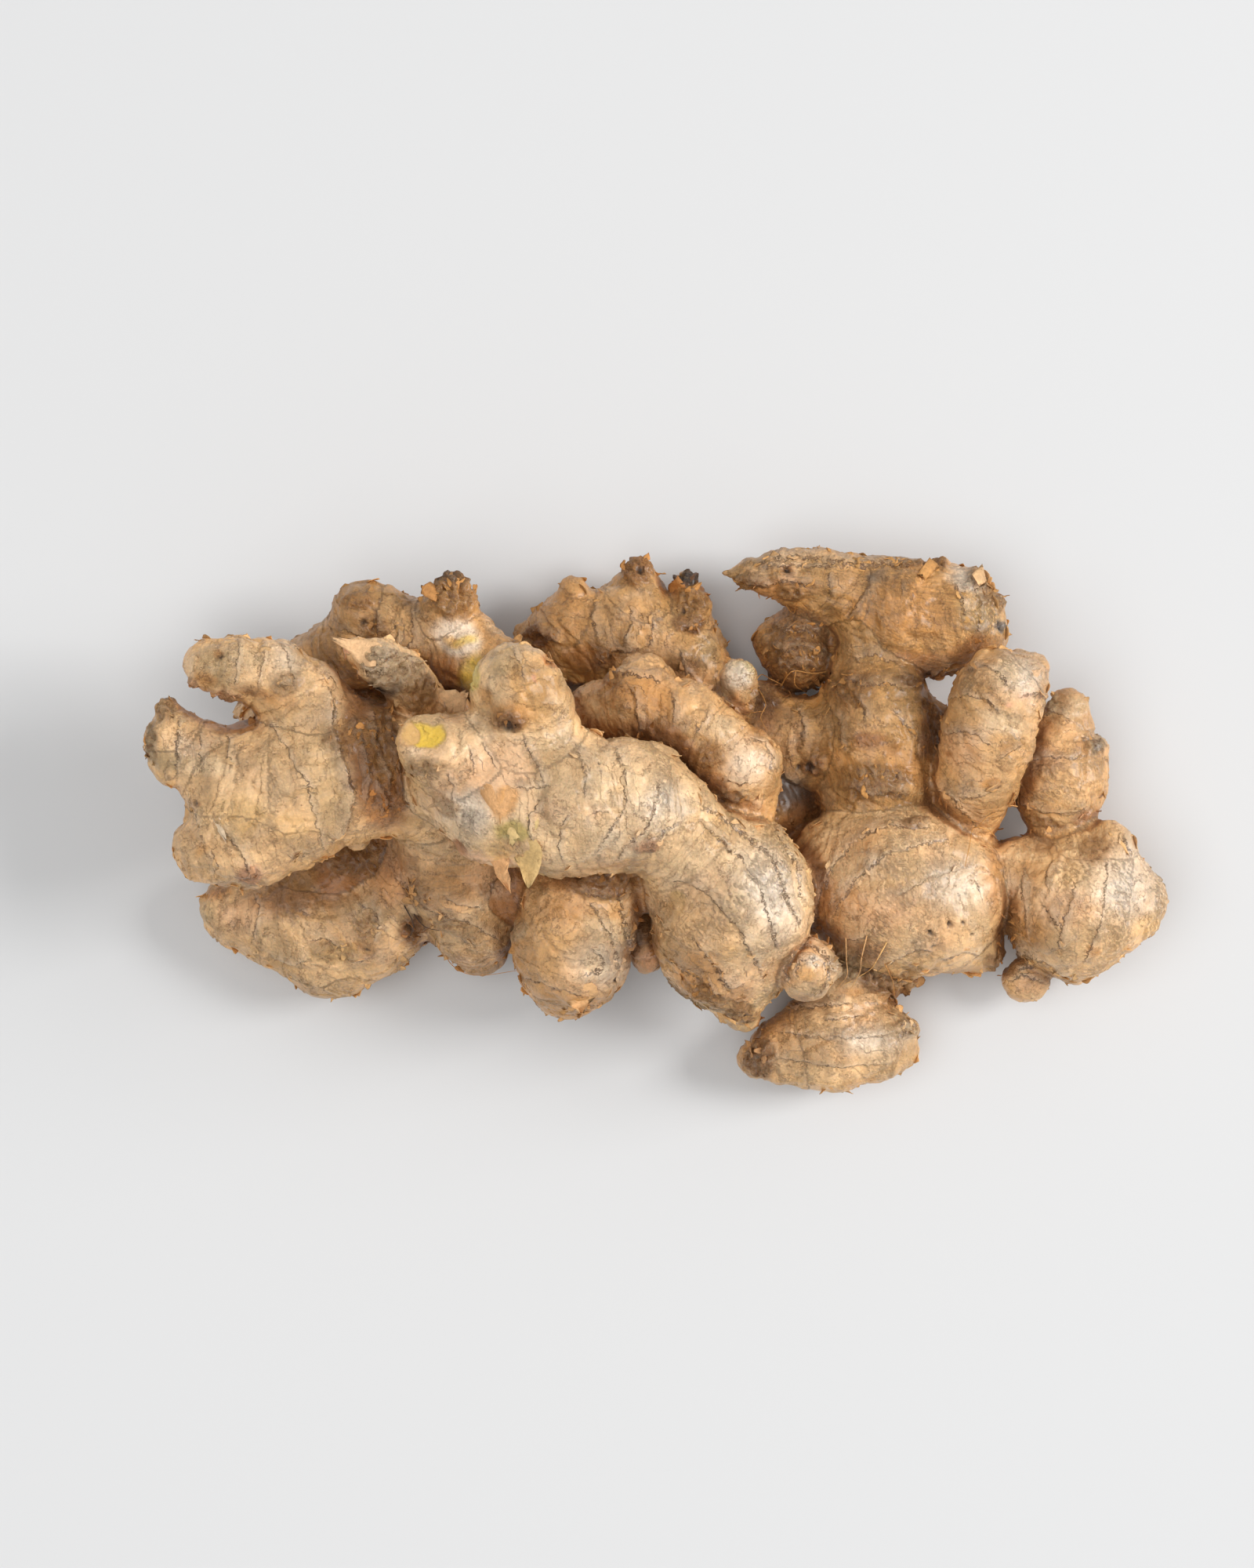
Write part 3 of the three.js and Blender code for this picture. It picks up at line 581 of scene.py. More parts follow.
@dataclass
class RightFingers(Hand):
    """The two upright fingers on the right."""

    name: str = "right_fingers"
    base: Tint = Tint.TAN
    fibres: float = 0.25
    flakes: float = 0.3
    lobes: Sequence[Lobe] = (
        Lobe("tall_finger", 1, ((72.5, -5.5, 17, 9), (75, 4, 22, 8.5), (76.5, 11, 27, 10),
            (78.5, 20, 31, 10.5), (80.5, 29, 33, 10), (79.5, 35, 32, 5.5))),
        Lobe("tall_finger_nub", 2, ((81, 29, 33, 8), (87, 34, 33, 6))),
        Lobe("short_finger", 0.8, ((98, -7.5, 16, 8), (97, 4, 16, 9), (96.5, 10, 16, 11.5),
            (96.5, 16, 17, 9), (97.5, 21, 18, 6.5), (99, 26, 18, 6))),
        Lobe("short_finger_nub", 1.5, ((98, 12, 16, 8), (104.5, 16, 16, 3.5))),
    )
    scars: Sequence[Scar] = (
        Scar(((65.5, 6.5), (69, 6), (76, -2)), Cut.CRACK),
        Scar(((70, 5.5), (74.5, 5), (78.5, 6), (81.5, 8.5))),
        Scar(((67.5, 19.5), (71.5, 21), (75.5, 20), (79, 17.5)), Cut.HAIR),
        Scar(((68.5, 28), (73, 29.5), (77.5, 28.5), (81, 25)), Cut.HAIR),
        Scar(((72, 35), (77, 36.5), (81, 34.5), (83.5, 31)), Cut.HAIR),
        Scar(((86.5, 29), (88.5, 30), (90.5, 29))), Scar(((80.5, 14), (86.5, 18)), Cut.HAIR),
        Scar(((86, 13), (91, 15), (97, 14.5), (102, 15.5)), Cut.HAIR),
        Scar(((85, 4), (91, 1.5), (97, 1), (102, 3)), Cut.HAIR),
        Scar(((90, 24.5), (94, 25.5), (97.5, 24)), Cut.HAIR),
        Scar(((101, 19.5), (103.5, 18.5), (104.5, 16)), Cut.CRACK),
    )
    patches: Sequence[Patch] = (
        Patch((72, 17), (5.4, 6), Tint.ROSY), Patch((79, 8.6), (2.6, 1.4), Tint.BROWN, 0.8, 0, 0.4),
        Patch((68.6, 15.6), (1.6, 1), Tint.DARK, 0.7, -30), Patch((82.6, 16.6), (2, 1.6), Tint.BROWN),
        Patch((87, 29.4), (2, 1), Tint.PINK, 0.8, 20), Patch((83.6, 27), (1, 0.8), Tint.PINK, 0.8),
        # Painted highlight: the first patch below, in cream, on the tall finger.
        Patch((86, 33.6), (5, 6), Tint.CREAM, 0.75, 0, 1.0), Patch((82, 35), (4, 4), Tint.PALE),
        Patch((82, 23), (2.8, 6), Tint.PALE, 0.7, 75), Patch((76, 1.6), (6, 3), Tint.BROWN, 0.5),
        Patch((92, 14), (5, 3), Tint.ROSY, 0.5), Patch((93, 27), (3, 3), Tint.GREYISH),
        Patch((99, 27), (4, 3), Tint.PALE), Patch((101, 17.6), (3, 2.6), Tint.BROWN, 0.5),
        Patch((103.6, 17), (1, 1.8), Tint.SLATE, 0.8),
    )
    crusts: Sequence[Crust] = (
        Crust((103.4, 17.6), (1.8, 2.2), 0.6, Tint.GREYISH),
        Crust((100.6, 0.6), (3, 1.6), 0.6, Tint.PINK, 35),
        Crust((91, -0.6), (6, 1.6), 0.4, Tint.BROWN, -12), Crust((92.6, 28), (1.6, 3), 0.4, Tint.GREYISH),
    )


@dataclass
class BackLobes(Hand):
    """The peaked lobe in the middle of the back, and the knobbly one on its left."""

    name: str = "back_lobes"
    base: Tint = Tint.CLAY
    fibres: float = 0.35
    flakes: float = 0.4
    lobes: Sequence[Lobe] = (
        Lobe("back_centre", 1.5, ((-31.5, 45, 10, 3), (-20.5, 43, 11, 10.5), (-6, 44, 12, 12.5),
            (5.5, 39, 12, 12), (10.5, 30.5, 12, 9))),
        Lobe("back_centre_peak_a", 3, ((-19.5, 46, 14, 9), (-19.5, 55, 17, 3.5))),
        Lobe("back_centre_peak_b", 3, ((-4, 48, 14, 10), (-3.5, 58.5, 18, 3.5))),
        Lobe("back_centre_stub", 2, ((6.5, 43, 14, 8), (9, 51, 17, 4.5), (7.5, 57, 18, 3.5))),
        Lobe("back_left", 1.5, ((-83.5, 38.5, 20, 6), (-70.5, 41.5, 25, 9.5), (-57.5, 42, 30, 10),
            (-45, 39, 34, 9.5), (-37, 33, 36, 9.5), (-31, 24, 40, 11), (-26, 12, 46, 12))),
        Lobe("back_left_knob", 2, ((-68.5, 44.5, 28, 8), (-69, 49, 30, 8))),
        Lobe("back_left_knob_b", 2, ((-62.5, 46, 30, 8), (-62.5, 49, 31, 6))),
        Lobe("back_left_torn", 2, ((-50, 43, 34, 8), (-48.5, 49.5, 36, 6.5), (-47.5, 54, 37, 3.5))),
    )
    scars: Sequence[Scar] = (
        Scar(((-14, 51.5), (-15, 48), (-13.5, 42))), Scar(((-6.5, 50.5), (-5.5, 46.5), (-8, 40))),
        Scar(((-1.5, 49), (-0.5, 45), (-2, 40.5))), Scar(((-29.5, 44.5), (-22.5, 41.5)), Cut.CRACK),
        Scar(((-13.5, 36.5), (-9.5, 39.5), (-6, 39), (-3, 40.5)), Cut.CRACK),
        Scar(((5, 46), (8.5, 45), (12, 46.5))), Scar(((5.5, 40), (6.5, 36), (9, 33))),
        Scar(((-57.5, 50), (-57, 42.5), (-59, 39.5))), Scar(((-74.5, 45), (-67.5, 42.5))),
        Scar(((-66.5, 50.5), (-65, 47), (-66, 43.5))), Scar(((-62, 47), (-60.5, 44), (-61.5, 41))),
    )
    patches: Sequence[Patch] = (
        Patch((-19, 48), (8, 8), Tint.BROWN, 0.45), Patch((-15, 38), (9, 4), Tint.DARK, 0.7),
        Patch((-27, 43), (4, 3), Tint.DARK), Patch((-11, 47), (4, 5), Tint.TAN, 0.5),
        Patch((2, 46), (4, 4), Tint.TAN, 0.5), Patch((8, 57), (4, 2), Tint.NEAR_BLACK, 0.8),
        Patch((12.6, 40), (3, 5), Tint.GREYISH), Patch((7, 35), (5, 4), Tint.DARK, 0.5),
        Patch((-58, 45), (6, 6), Tint.TAN, 0.5), Patch((-52.6, 44), (4, 5), Tint.TAN, 0.8),
        Patch((-46.4, 43), (6.4, 5), Tint.CREAM, 0.8, -20, 0.4),
        Patch((-47.6, 42), (3, 1.6), Tint.GOLD, 0.9, -30),
        Patch((-44.4, 42.4), (3.4, 1.4), Tint.YELLOW, 0.6, 20),
        Patch((-43, 35), (3, 5), Tint.YELLOW, 0.7, -20), Patch((-50, 35), (4, 4), Tint.REDDISH, 0.5),
        Patch((-62, 36), (10, 4), Tint.DARK, 0.5),
    )
    crusts: Sequence[Crust] = (
        Crust((-4, 59), (4.4, 3.6), 0.8, Tint.REDDISH), Crust((8, 57), (4.4, 2.2), 1.0, Tint.NEAR_BLACK),
        Crust((8.6, 51.6), (3.8, 4.4), 0.8, Tint.BROWN, 90), Crust((8, 46), (4, 2.4), 0.6, Tint.REDDISH),
        Crust((-28, 43.4), (4, 3), 0.8, Tint.REDDISH), Crust((-47.6, 52), (6.4, 5.4), 1.1),
        Crust((-48, 56.4), (4.6, 1.8), 1.1, Tint.NEAR_BLACK), Crust((-66, 45), (4, 4), 0.5),
        Crust((-70, 51.6), (4, 2.6), 0.4), Crust((-31, 42), (2.6, 2), 0.7, Tint.OCHRE),
    )
    pits: Sequence[Pit] = (
        Pit((-3.4, 58.6), 0.9, 1.1), Pit((6.4, 49), 0.6, 0.8), Pit((-68.4, 46.6), 0.9, 0.8),
    )


@dataclass
class LeftHand(Hand):
    """The raised hand on the left with its two fingers."""

    name: str = "left_hand"
    base: Tint = Tint.FAWN
    fibres: float = 0.25
    flakes: float = 0.25
    lobes: Sequence[Lobe] = (
        Lobe("left_hand", 2, ((-51.5, 6, 46, 12), (-61.5, 12, 46, 14), (-73, 11, 48, 15.5),
            (-84.5, 8, 49, 15.5), (-95.5, 8, 49, 13)), 5),
        Lobe("left_hand_low", 4, ((-83, 4, 48, 14), (-94.5, -2, 48, 13), (-103.5, -6, 48, 9)), 4),
        Lobe("left_hand_spur", 2, ((-95, -6, 46, 8), (-94, -13, 45, 3))),
        Lobe("upper_left_finger", 4, ((-73, 20, 50, 11), (-81.5, 28.5, 53, 9), (-89, 34, 55, 8),
            (-97, 35.5, 56, 7), (-102.5, 36, 56, 6.5))),
        Lobe("stub_finger", 4, ((-96.5, 12, 49, 10), (-104.5, 15, 50, 7.5), (-110.5, 13.5, 51, 6.5))),
        Lobe("stub_finger_top", 3, ((-106.5, 16, 50, 7), (-111, 19, 51, 6.5), (-113, 25, 51, 2.5))),
        Lobe("hidden_bud", 1, ((-85.5, 18, 40, 7), (-92.5, 23, 31, 5), (-97, 26, 26, 3.5))),
        Lobe("small_bud", 0.6, ((-69.5, -1, 40, 4), (-70, -4.5, 39, 3))),
        Lobe("dry_stump", 1.5, ((-51.5, 20, 44, 9), (-55, 28.5, 50, 6), (-58, 33.5, 53, 6),
            (-63.5, 36.5, 55, 5), (-69.5, 39.5, 55, 2.5))),
        Lobe("little_bud", 0.6, ((-46.5, 24, 48, 5), (-47, 27.5, 50, 3))),
    )
    scars: Sequence[Scar] = (
        Scar(((-90.5, 23), (-82, 9), (-78, -7)), Cut.HAIR), Scar(((-83.5, 7), (-79.5, 8)), Cut.HAIR),
        Scar(((-75, -5), (-72.5, -2), (-70.5, 6), (-75.5, 21.5), (-75.5, 26.5), (-77, 31)), Cut.STEP),
        Scar(((-62, 4.5), (-66.5, 10.5)), Cut.CRACK),
        Scar(((-68, 4), (-67, 9), (-67.5, 14), (-70.5, 24))),
        Scar(((-64, 1), (-62.5, 6), (-62.5, 11), (-66, 21), (-66.5, 26))), Scar(((-59, 8), (-62.5, 24))),
        Scar(((-92.5, 42.5), (-92, 39), (-93.5, 31)), Cut.HAIR),
        Scar(((-98, 43.5), (-98.5, 31)), Cut.HAIR), Scar(((-88.5, 42), (-86.5, 39.5), (-85, 31.5))),
        Scar(((-86, 42.5), (-82.5, 40)), Cut.CRACK), Scar(((-89, 31.5), (-87, 32), (-84.5, 31.5))),
        Scar(((-79, 33), (-76.5, 33.5), (-75, 31.5)), Cut.HAIR), Scar(((-112, 24), (-112.5, 9.5))),
        Scar(((-107, 22), (-107, 12)), Cut.HAIR), Scar(((-100.5, 21), (-100, 12.5))),
        Scar(((-103, -0.5), (-96.5, -9.5), (-95.5, -13))),
        Scar(((-111, 5), (-108.5, 2), (-107.5, -2)), Cut.HAIR),
        Scar(((-103.5, -13.5), (-103, -10.5), (-104.5, -7.5)), Cut.HAIR),
        Scar(((-97, -14.5), (-94.5, -12), (-92.5, -13.5))),
        Scar(((-86.5, -8.5), (-84, -9.5), (-81.5, -8.5))),
        Scar(((-67, 39.5), (-64, 37.5), (-60.5, 38.5)), Cut.CRACK),
        Scar(((-69.5, 36.5), (-66, 34.5), (-62, 34.5)), Cut.CRACK),
    )
    patches: Sequence[Patch] = (
        Patch((-77, 10), (5.4, 14), Tint.GREYISH, 0.45), Patch((-97, 1), (6, 5), Tint.GOLD, 0.75, 20),
        Patch((-86, -2), (6, 4), Tint.GOLD, 0.45), Patch((-66, 16), (16, 8), Tint.DARK, 0.8, -80, 0.4),
        Patch((-64, 12), (5, 3), Tint.BROWN, 0.7, -70), Patch((-68, 22), (4, 2), Tint.BROWN, 0.6, 60),
        Patch((-64, 3), (7, 6), Tint.REDDISH, 0.65), Patch((-67.5, 27), (6, 6), Tint.DARK),
        Patch((-103.4, 36), (5, 6.4), Tint.GREYISH, 0.7),
        Patch((-106, 33), (3.4, 2), Tint.BROWN, 0.7, -15),
        Patch((-103, 39.4), (1.4, 1.4), Tint.BROWN, 0.7),
        Patch((-87, 37.6), (4, 5), Tint.CREAM, 0.5, 0, 1.0),
        Patch((-95.6, 38), (2.6, 5), Tint.PALE, 0.6, 85),
        Patch((-88, 28.6), (5, 3), Tint.BROWN, 0.55, -10),
        Patch((-94, 29.6), (5, 1.6), Tint.DARK, 0.5, -12),
        Patch((-106.4, 13), (2.8, 8), Tint.PALE, 0.75, 85),
        Patch((-115, 14), (3, 6), Tint.GREYISH, 0.85, 85),
        Patch((-118.4, 18), (1.6, 4.6), Tint.SLATE, 0.5),
        Patch((-107, -7.4), (2.2, 1.6), Tint.OCHRE, 0.6, 30), Patch((-108, 3.6), (1.2, 1), Tint.DARK),
        Patch((-95.4, -12.6), (3.6, 3), Tint.PINK, 0.5), Patch((-63, 37), (6, 5), Tint.PALE, 0.7),
        Patch((-70.6, 40.6), (3.4, 1.6), Tint.PINK, 0.9, 10, 0.3),
        Patch((-64, 31), (6, 2.4), Tint.NEAR_BLACK, 0.75), Patch((-54, 27), (4, 4), Tint.BROWN),
        Patch((-100.6, 21.4), (4, 1), Tint.DARK, 0.6, 5),
    )
    crusts: Sequence[Crust] = (
        Crust((-115, 26), (3, 3.2), 0.9, Tint.TAN), Crust((-70, 20), (4.5, 9), 0.45, Tint.BROWN, -75),
        Crust((-62, 36), (8.5, 5), 1.0, Tint.PALE, -10), Crust((-56, 30), (4, 6), 0.6, Tint.BROWN, -40),
        Crust((-109.4, 31.4), (1.8, 1.8), 0.8, Tint.PINK), Crust((-95.5, -13), (3, 3), 0.45, Tint.PINK),
        Crust((-86.4, 32), (4.6, 3), 0.35, Tint.TAN), Crust((-118.6, 18), (1.6, 5), 0.5, Tint.GREYISH),
        Crust((-101, 29), (4, 1.4), 0.5, Tint.PINK, -10), Crust((-62, 6), (5, 5), 0.6, Tint.REDDISH),
        Crust((-64, 18), (5, 10), 0.5),
    )
    pits: Sequence[Pit] = (
        Pit((-102.4, 38.6), 0.6, 0.5), Pit((-108.4, 4), 0.5, 0.5), Pit((-70.6, 40.8), 1.6, 1.3),
    )


@dataclass
class LowerLeft(Hand):
    """The low lobes under the left hand that it rests on."""

    name: str = "lower_left"
    base: Tint = Tint.FAWN
    fibres: float = 0.35
    flakes: float = 0.4
    lobes: Sequence[Lobe] = (
        Lobe("low_left_lobe", 1.5, ((-107.5, -20, 13, 2.5), (-100.5, -22.5, 13, 8),
            (-90, -24.5, 13.5, 11.5), (-79.5, -26, 14, 14), (-68.5, -24.5, 15, 13),
            (-58, -15.5, 20, 12), (-50.5, 0, 28, 12))),
        Lobe("low_left_belly", 3, ((-80, -29, 12, 12.5), (-78, -31.5, 11, 11.5))),
        Lobe("low_left_belly_b", 3, ((-76, -31, 12, 11.5), (-69, -30, 12, 8.5))),
        Lobe("centre_low_lobe", 1.5, ((-47, 0, 38, 14), (-46.5, -12, 28, 13), (-43.5, -22.5, 20, 12),
            (-42, -31, 14, 7))),
    )
    scars: Sequence[Scar] = (
        Scar(((-94.5, -17), (-93, -20), (-95.5, -29)), Cut.HAIR),
        Scar(((-85, -21), (-81.5, -22)), Cut.CRACK),
        Scar(((-81, -28.5), (-77.5, -28), (-74.5, -30), (-72.5, -29.5))),
        Scar(((-70, -19.5), (-66.5, -21), (-65, -25), (-66.5, -29))),
        Scar(((-90, -33.5), (-85, -34.5), (-81, -33))), Scar(((-73, -32.5), (-70, -33.5), (-67, -32.5))),
        Scar(((-61.5, -13), (-52, -21)), Cut.SPLIT), Scar(((-57, -14), (-51, -21.5), (-43, -24))),
        Scar(((-50.5, -23.5), (-45, -23), (-36.5, -28.5))),
        Scar(((-45.5, -27), (-44.5, -29), (-42, -29.5)), Cut.CRACK),
        Scar(((-50, -17.5), (-47, -19.5), (-40, -21.5))),
        Scar(((-38, -16.5), (-36, -19.5), (-36.5, -23))), Scar(((-52.5, -27), (-51, -30.5)), Cut.HAIR),
    )
    patches: Sequence[Patch] = (
        # Painted shadow: the first patch below darkens the top of the lower left lobe, under the raised left
        # hand.
        Patch((-84, -18), (15, 5), Tint.DARK, 0.65, 6), Patch((-99, -23), (4, 6), Tint.ROSY, 0.5, 80),
        Patch((-105.4, -22), (2, 3), Tint.GREYISH, 0.8),
        Patch((-103, -17), (4, 1.6), Tint.REDDISH, 0.6, 20),
        Patch((-84, -33), (9, 3.6), Tint.FAWN, 0.5, -12), Patch((-68, -30), (2, 2.4), Tint.REDDISH),
        Patch((-67, -23), (5, 6), Tint.GREYISH, 0.5), Patch((-72, -27), (6, 5), Tint.TAN),
        # Painted shade: the second patch below darkens the valley between the lower left lobe and the left
        # hand.
        Patch((-62, -15), (6, 7), Tint.REDDISH, 0.5), Patch((-66, -10), (10, 5), Tint.DARK, 0.65),
        Patch((-47, -14), (8, 6), Tint.BROWN, 0.5), Patch((-40, -14), (5, 4), Tint.ROSY),
        Patch((-57, -26.4), (4, 4), Tint.DARK), Patch((-37, -26), (4, 5), Tint.TAN, 0.5),
    )
    crusts: Sequence[Crust] = (
        Crust((-57, -26), (3, 4), 0.9, Tint.DARK), Crust((-55, -17), (5, 3), 0.6, Tint.BROWN, -40),
        Crust((-37, -17), (5, 3), 0.5, Tint.ROSY, -20), Crust((-75, -31), (7, 3), 0.35, Tint.GOLD),
        Crust((-67.5, -26), (2.6, 6), 0.4, Tint.TAN), Crust((-48, -24), (6, 3), 0.45, Tint.TAN, -20),
    )
    pits: Sequence[Pit] = (
        Pit((-57.4, -25.4), 1.0, 1.2), Pit((-68, -30), 0.5, 0.4),
    )


@dataclass(frozen=True)
class CutFace:
    """The flat left where a finger was cut off, with moist flesh showing in it.

    Attributes:
        middle: Middle of the flat, in layout mm.
        facing: Direction the flat faces.
        reach: Radius within which the finger is cut back, in mm.
        flesh: Areas of bare flesh, on the plan.
    """

    middle: tuple[float, float, float] = (-52.2, 19.4, 74.0)
    facing: tuple[float, float, float] = (-0.22, 0.34, 0.91)
    reach: float = 8.5
    flesh: tuple[Patch, ...] = (
        Patch((-54.4, 20.4), (5.6, 3.6), Tint.YELLOW, 1.0, 0, 0.12),
        Patch((-58.4, 20.8), (1.8, 3.4), Tint.TAN, 0.8, 0, 0.2),
    )


@dataclass(frozen=True)
class Plan:
    """The drawing that marks are placed on: the piece as an eye high above it sees it.

    Attributes:
        centre: Point straight under the eye, in layout mm.
        level: Height at which the drawing is true to size, in mm.
        eye: Height of the eye above that level, in mm.
    """

    centre: Plan2 = (-6.6, 8.5)
    level: float = 35.0
    eye: float = 870.0

    def project(self, points: np.ndarray) -> np.ndarray:
        """Returns where layout points fall on the drawing.

        Args:
            points: (n, 3) layout points, in mm.

        Returns:
            (n, 2) points on the drawing, in mm.
        """
        centre = np.array(self.centre)
        nearer = self.eye / (self.eye - (points[:, 2:3] - self.level))
        return centre + (points[:, :2] - centre) * nearer

    def sight_line(self, at: Plan2) -> tuple[Vector, Vector]:
        """Returns the eye and the direction in which it sees a point of the drawing."""
        eye = Vector((*self.centre, self.level + self.eye))
        return eye, (Vector((*at, self.level)) - eye).normalized()


@dataclass(frozen=True)
class LayoutFit:
    """Takes layout millimetres to the frame's metres.

    Attributes:
        origin: Layout point that lands on the frame's origin.
        scale: Metres per layout millimetre.
    """

    origin: np.ndarray
    scale: float

    @classmethod
    def onto_box(cls, points: np.ndarray, low: Vector, high: Vector) -> "LayoutFit":
        """Fits layout points onto the solid's box.

        Args:
            points: (n, 3) layout points of the smooth skin.
            low: Lowest corner of the solid's box, in metres.
            high: Highest corner of the solid's box, in metres.

        Returns:
            The fit, true along the length, with the two undersides level.
        """
        least, most = points.min(axis=0), points.max(axis=0)
        scale = (high.x - low.x) / (most[0] - least[0])
        middle = (least + most) / 2
        target = (low + high) / 2
        origin = np.array([
            middle[0] - target.x / scale,
            middle[1] - target.y / scale,
            least[2] - low.z / scale,
        ])
        return cls(origin, scale)

    def apply(self, points: np.ndarray) -> np.ndarray:
        """Returns layout points in the frame's metres."""
        return (points - self.origin) * self.scale

    def place(self, point: Sequence[float]) -> Vector:
        """Returns one layout point in the frame's metres."""
        return Vector((np.asarray(point, float) - self.origin) * self.scale)


class LatticeNoise:
    """Seeded gradient noise on points in millimetres."""

    TABLE = 512
    SPREAD = 1.7

    def __init__(self, seed: int) -> None:
        """Draws the gradients of the lattice.

        Args:
            seed: Number that fixes the pattern.
        """
        rng = np.random.default_rng(seed)
        slopes = rng.normal(size=(self.TABLE, 3))
        self.slopes = slopes / np.linalg.norm(slopes, axis=1, keepdims=True)
        self.shuffle = rng.permutation(self.TABLE)

    def at(self, points: np.ndarray, wavelength: float) -> np.ndarray:
        """Returns one octave of noise, about -1 to 1.

        Args:
            points: (n, 3) points, in mm.
            wavelength: Size of one bump, in mm.

        Returns:
            (n,) values.
        """
        scaled = points / wavelength
        cell = np.floor(scaled).astype(np.int64)
        part = scaled - cell
        fade = part**3 * (part * (part * 6 - 15) + 10)
        total = np.zeros(len(points))
        for corner in itertools.product((0, 1), repeat=3):
            step = np.array(corner)
            weight = np.where(step, fade, 1 - fade).prod(axis=1)
            slope = self.slopes[self._pick(cell + step)]
            total += weight * ((part - step) * slope).sum(axis=1)
        return total * self.SPREAD

    def layered(self, points: np.ndarray, wavelength: float, octaves: int) -> np.ndarray:
        """Returns several octaves of noise, each half the size and strength of the last.

        Args:
            points: (n, 3) points, in mm.
            wavelength: Size of the largest bumps, in mm.
            octaves: How many layers are added.

        Returns:
            (n,) values, about -1 to 1.
        """
        total = np.zeros(len(points))
        for octave in range(octaves):
            share = 0.5**octave
            total += share * self.at(points + 17.3 * octave, wavelength * share)
        return total / 1.6

    def _pick(self, cell: np.ndarray) -> np.ndarray:
        """Returns the table entry of each lattice corner.

        Args:
            cell: (n, 3) whole-numbered corners.

        Returns:
            (n,) entries.
        """
        entry = self.shuffle[cell[:, 0] % self.TABLE]
        entry = self.shuffle[(entry + cell[:, 1]) % self.TABLE]
        return self.shuffle[(entry + cell[:, 2]) % self.TABLE]


def ramp(value: np.ndarray, start: float, end: float) -> np.ndarray:
    """Returns a smooth rise from 0 at start to 1 at end, also where end is below start."""
    part = np.clip((value - start) / (end - start), 0, 1)
    return part * part * (3 - 2 * part)


def staircase(value: np.ndarray, run: float) -> np.ndarray:
    """Returns value in whole steps, each risen over a share (run) of its length."""
    whole = np.floor(value)
    return whole + ramp(value - whole, 0.5 - run / 2, 0.5 + run / 2)


def mix(under: np.ndarray, over: np.ndarray, share: np.ndarray) -> np.ndarray:
    """Returns colours of under with over laid on them by share."""
    return under + (over - under) * share[:, None]


def segment_distance(
    x: np.ndarray, y: np.ndarray, z: np.ndarray, start: Sequence[float], end: Sequence[float]
) -> np.ndarray:
    """Returns the distance to the tapering, round-ended segment between two stations.

    Args:
        x, y, z: Coordinates, in mm, of shapes that broadcast together.
        start: (x, y, z, radius) of the first station.
        end: (x, y, z, radius) of the second station.

    Returns:
        Signed distances, negative inside.
    """
    ax, ay, az = (end[i] - start[i] for i in range(3))
    length_sq = ax * ax + ay * ay + az * az
    taper = start[3] - end[3]
    slope_sq = length_sq - taper * taper
    px, py, pz = x - start[0], y - start[1], z - start[2]
    along = px * ax + py * ay + pz * az
    away_sq = px * px + py * py + pz * pz
    across_sq = np.maximum(length_sq * (length_sq * away_sq - along * along), 0)
    past = along - length_sq
    start_sq = along * along * length_sq
    end_sq = past * past * length_sq
    limit = np.sign(taper) * taper * taper * across_sq
    side = (np.sqrt(across_sq * slope_sq / length_sq) + along * taper) / length_sq - start[3]
    near_start = np.sqrt(across_sq + start_sq) / length_sq - start[3]
    near_end = np.sqrt(across_sq + end_sq) / length_sq - end[3]
    before = np.sign(along) * slope_sq * start_sq < limit
    beyond = np.sign(past) * slope_sq * end_sq > limit
    return np.where(beyond, near_end, np.where(before, near_start, side))


def smooth_min(a: np.ndarray, b: np.ndarray, blend: float) -> np.ndarray:
    """Returns the smaller of a and b, with the valley between them rounded."""
    overlap = np.maximum(blend - np.abs(a - b), 0) / blend
    return np.minimum(a, b) - overlap * overlap * blend * 0.25


def lobe_distance(lobe: Lobe, x: np.ndarray, y: np.ndarray, z: np.ndarray) -> np.ndarray:
    """Returns the signed distance to one lobe, with the valleys between its segments rounded.

    Args:
        lobe: The lobe.
        x, y, z: Coordinates, in mm, of shapes that broadcast together.

    Returns:
        Signed distances, negative inside.
    """
    distances = [segment_distance(x, y, z, a, b) for a, b in zip(lobe.stations, lobe.stations[1:])]
    total = distances[0]
    for distance in distances[1:]:
        total = smooth_min(total, distance, lobe.inner)
    return total


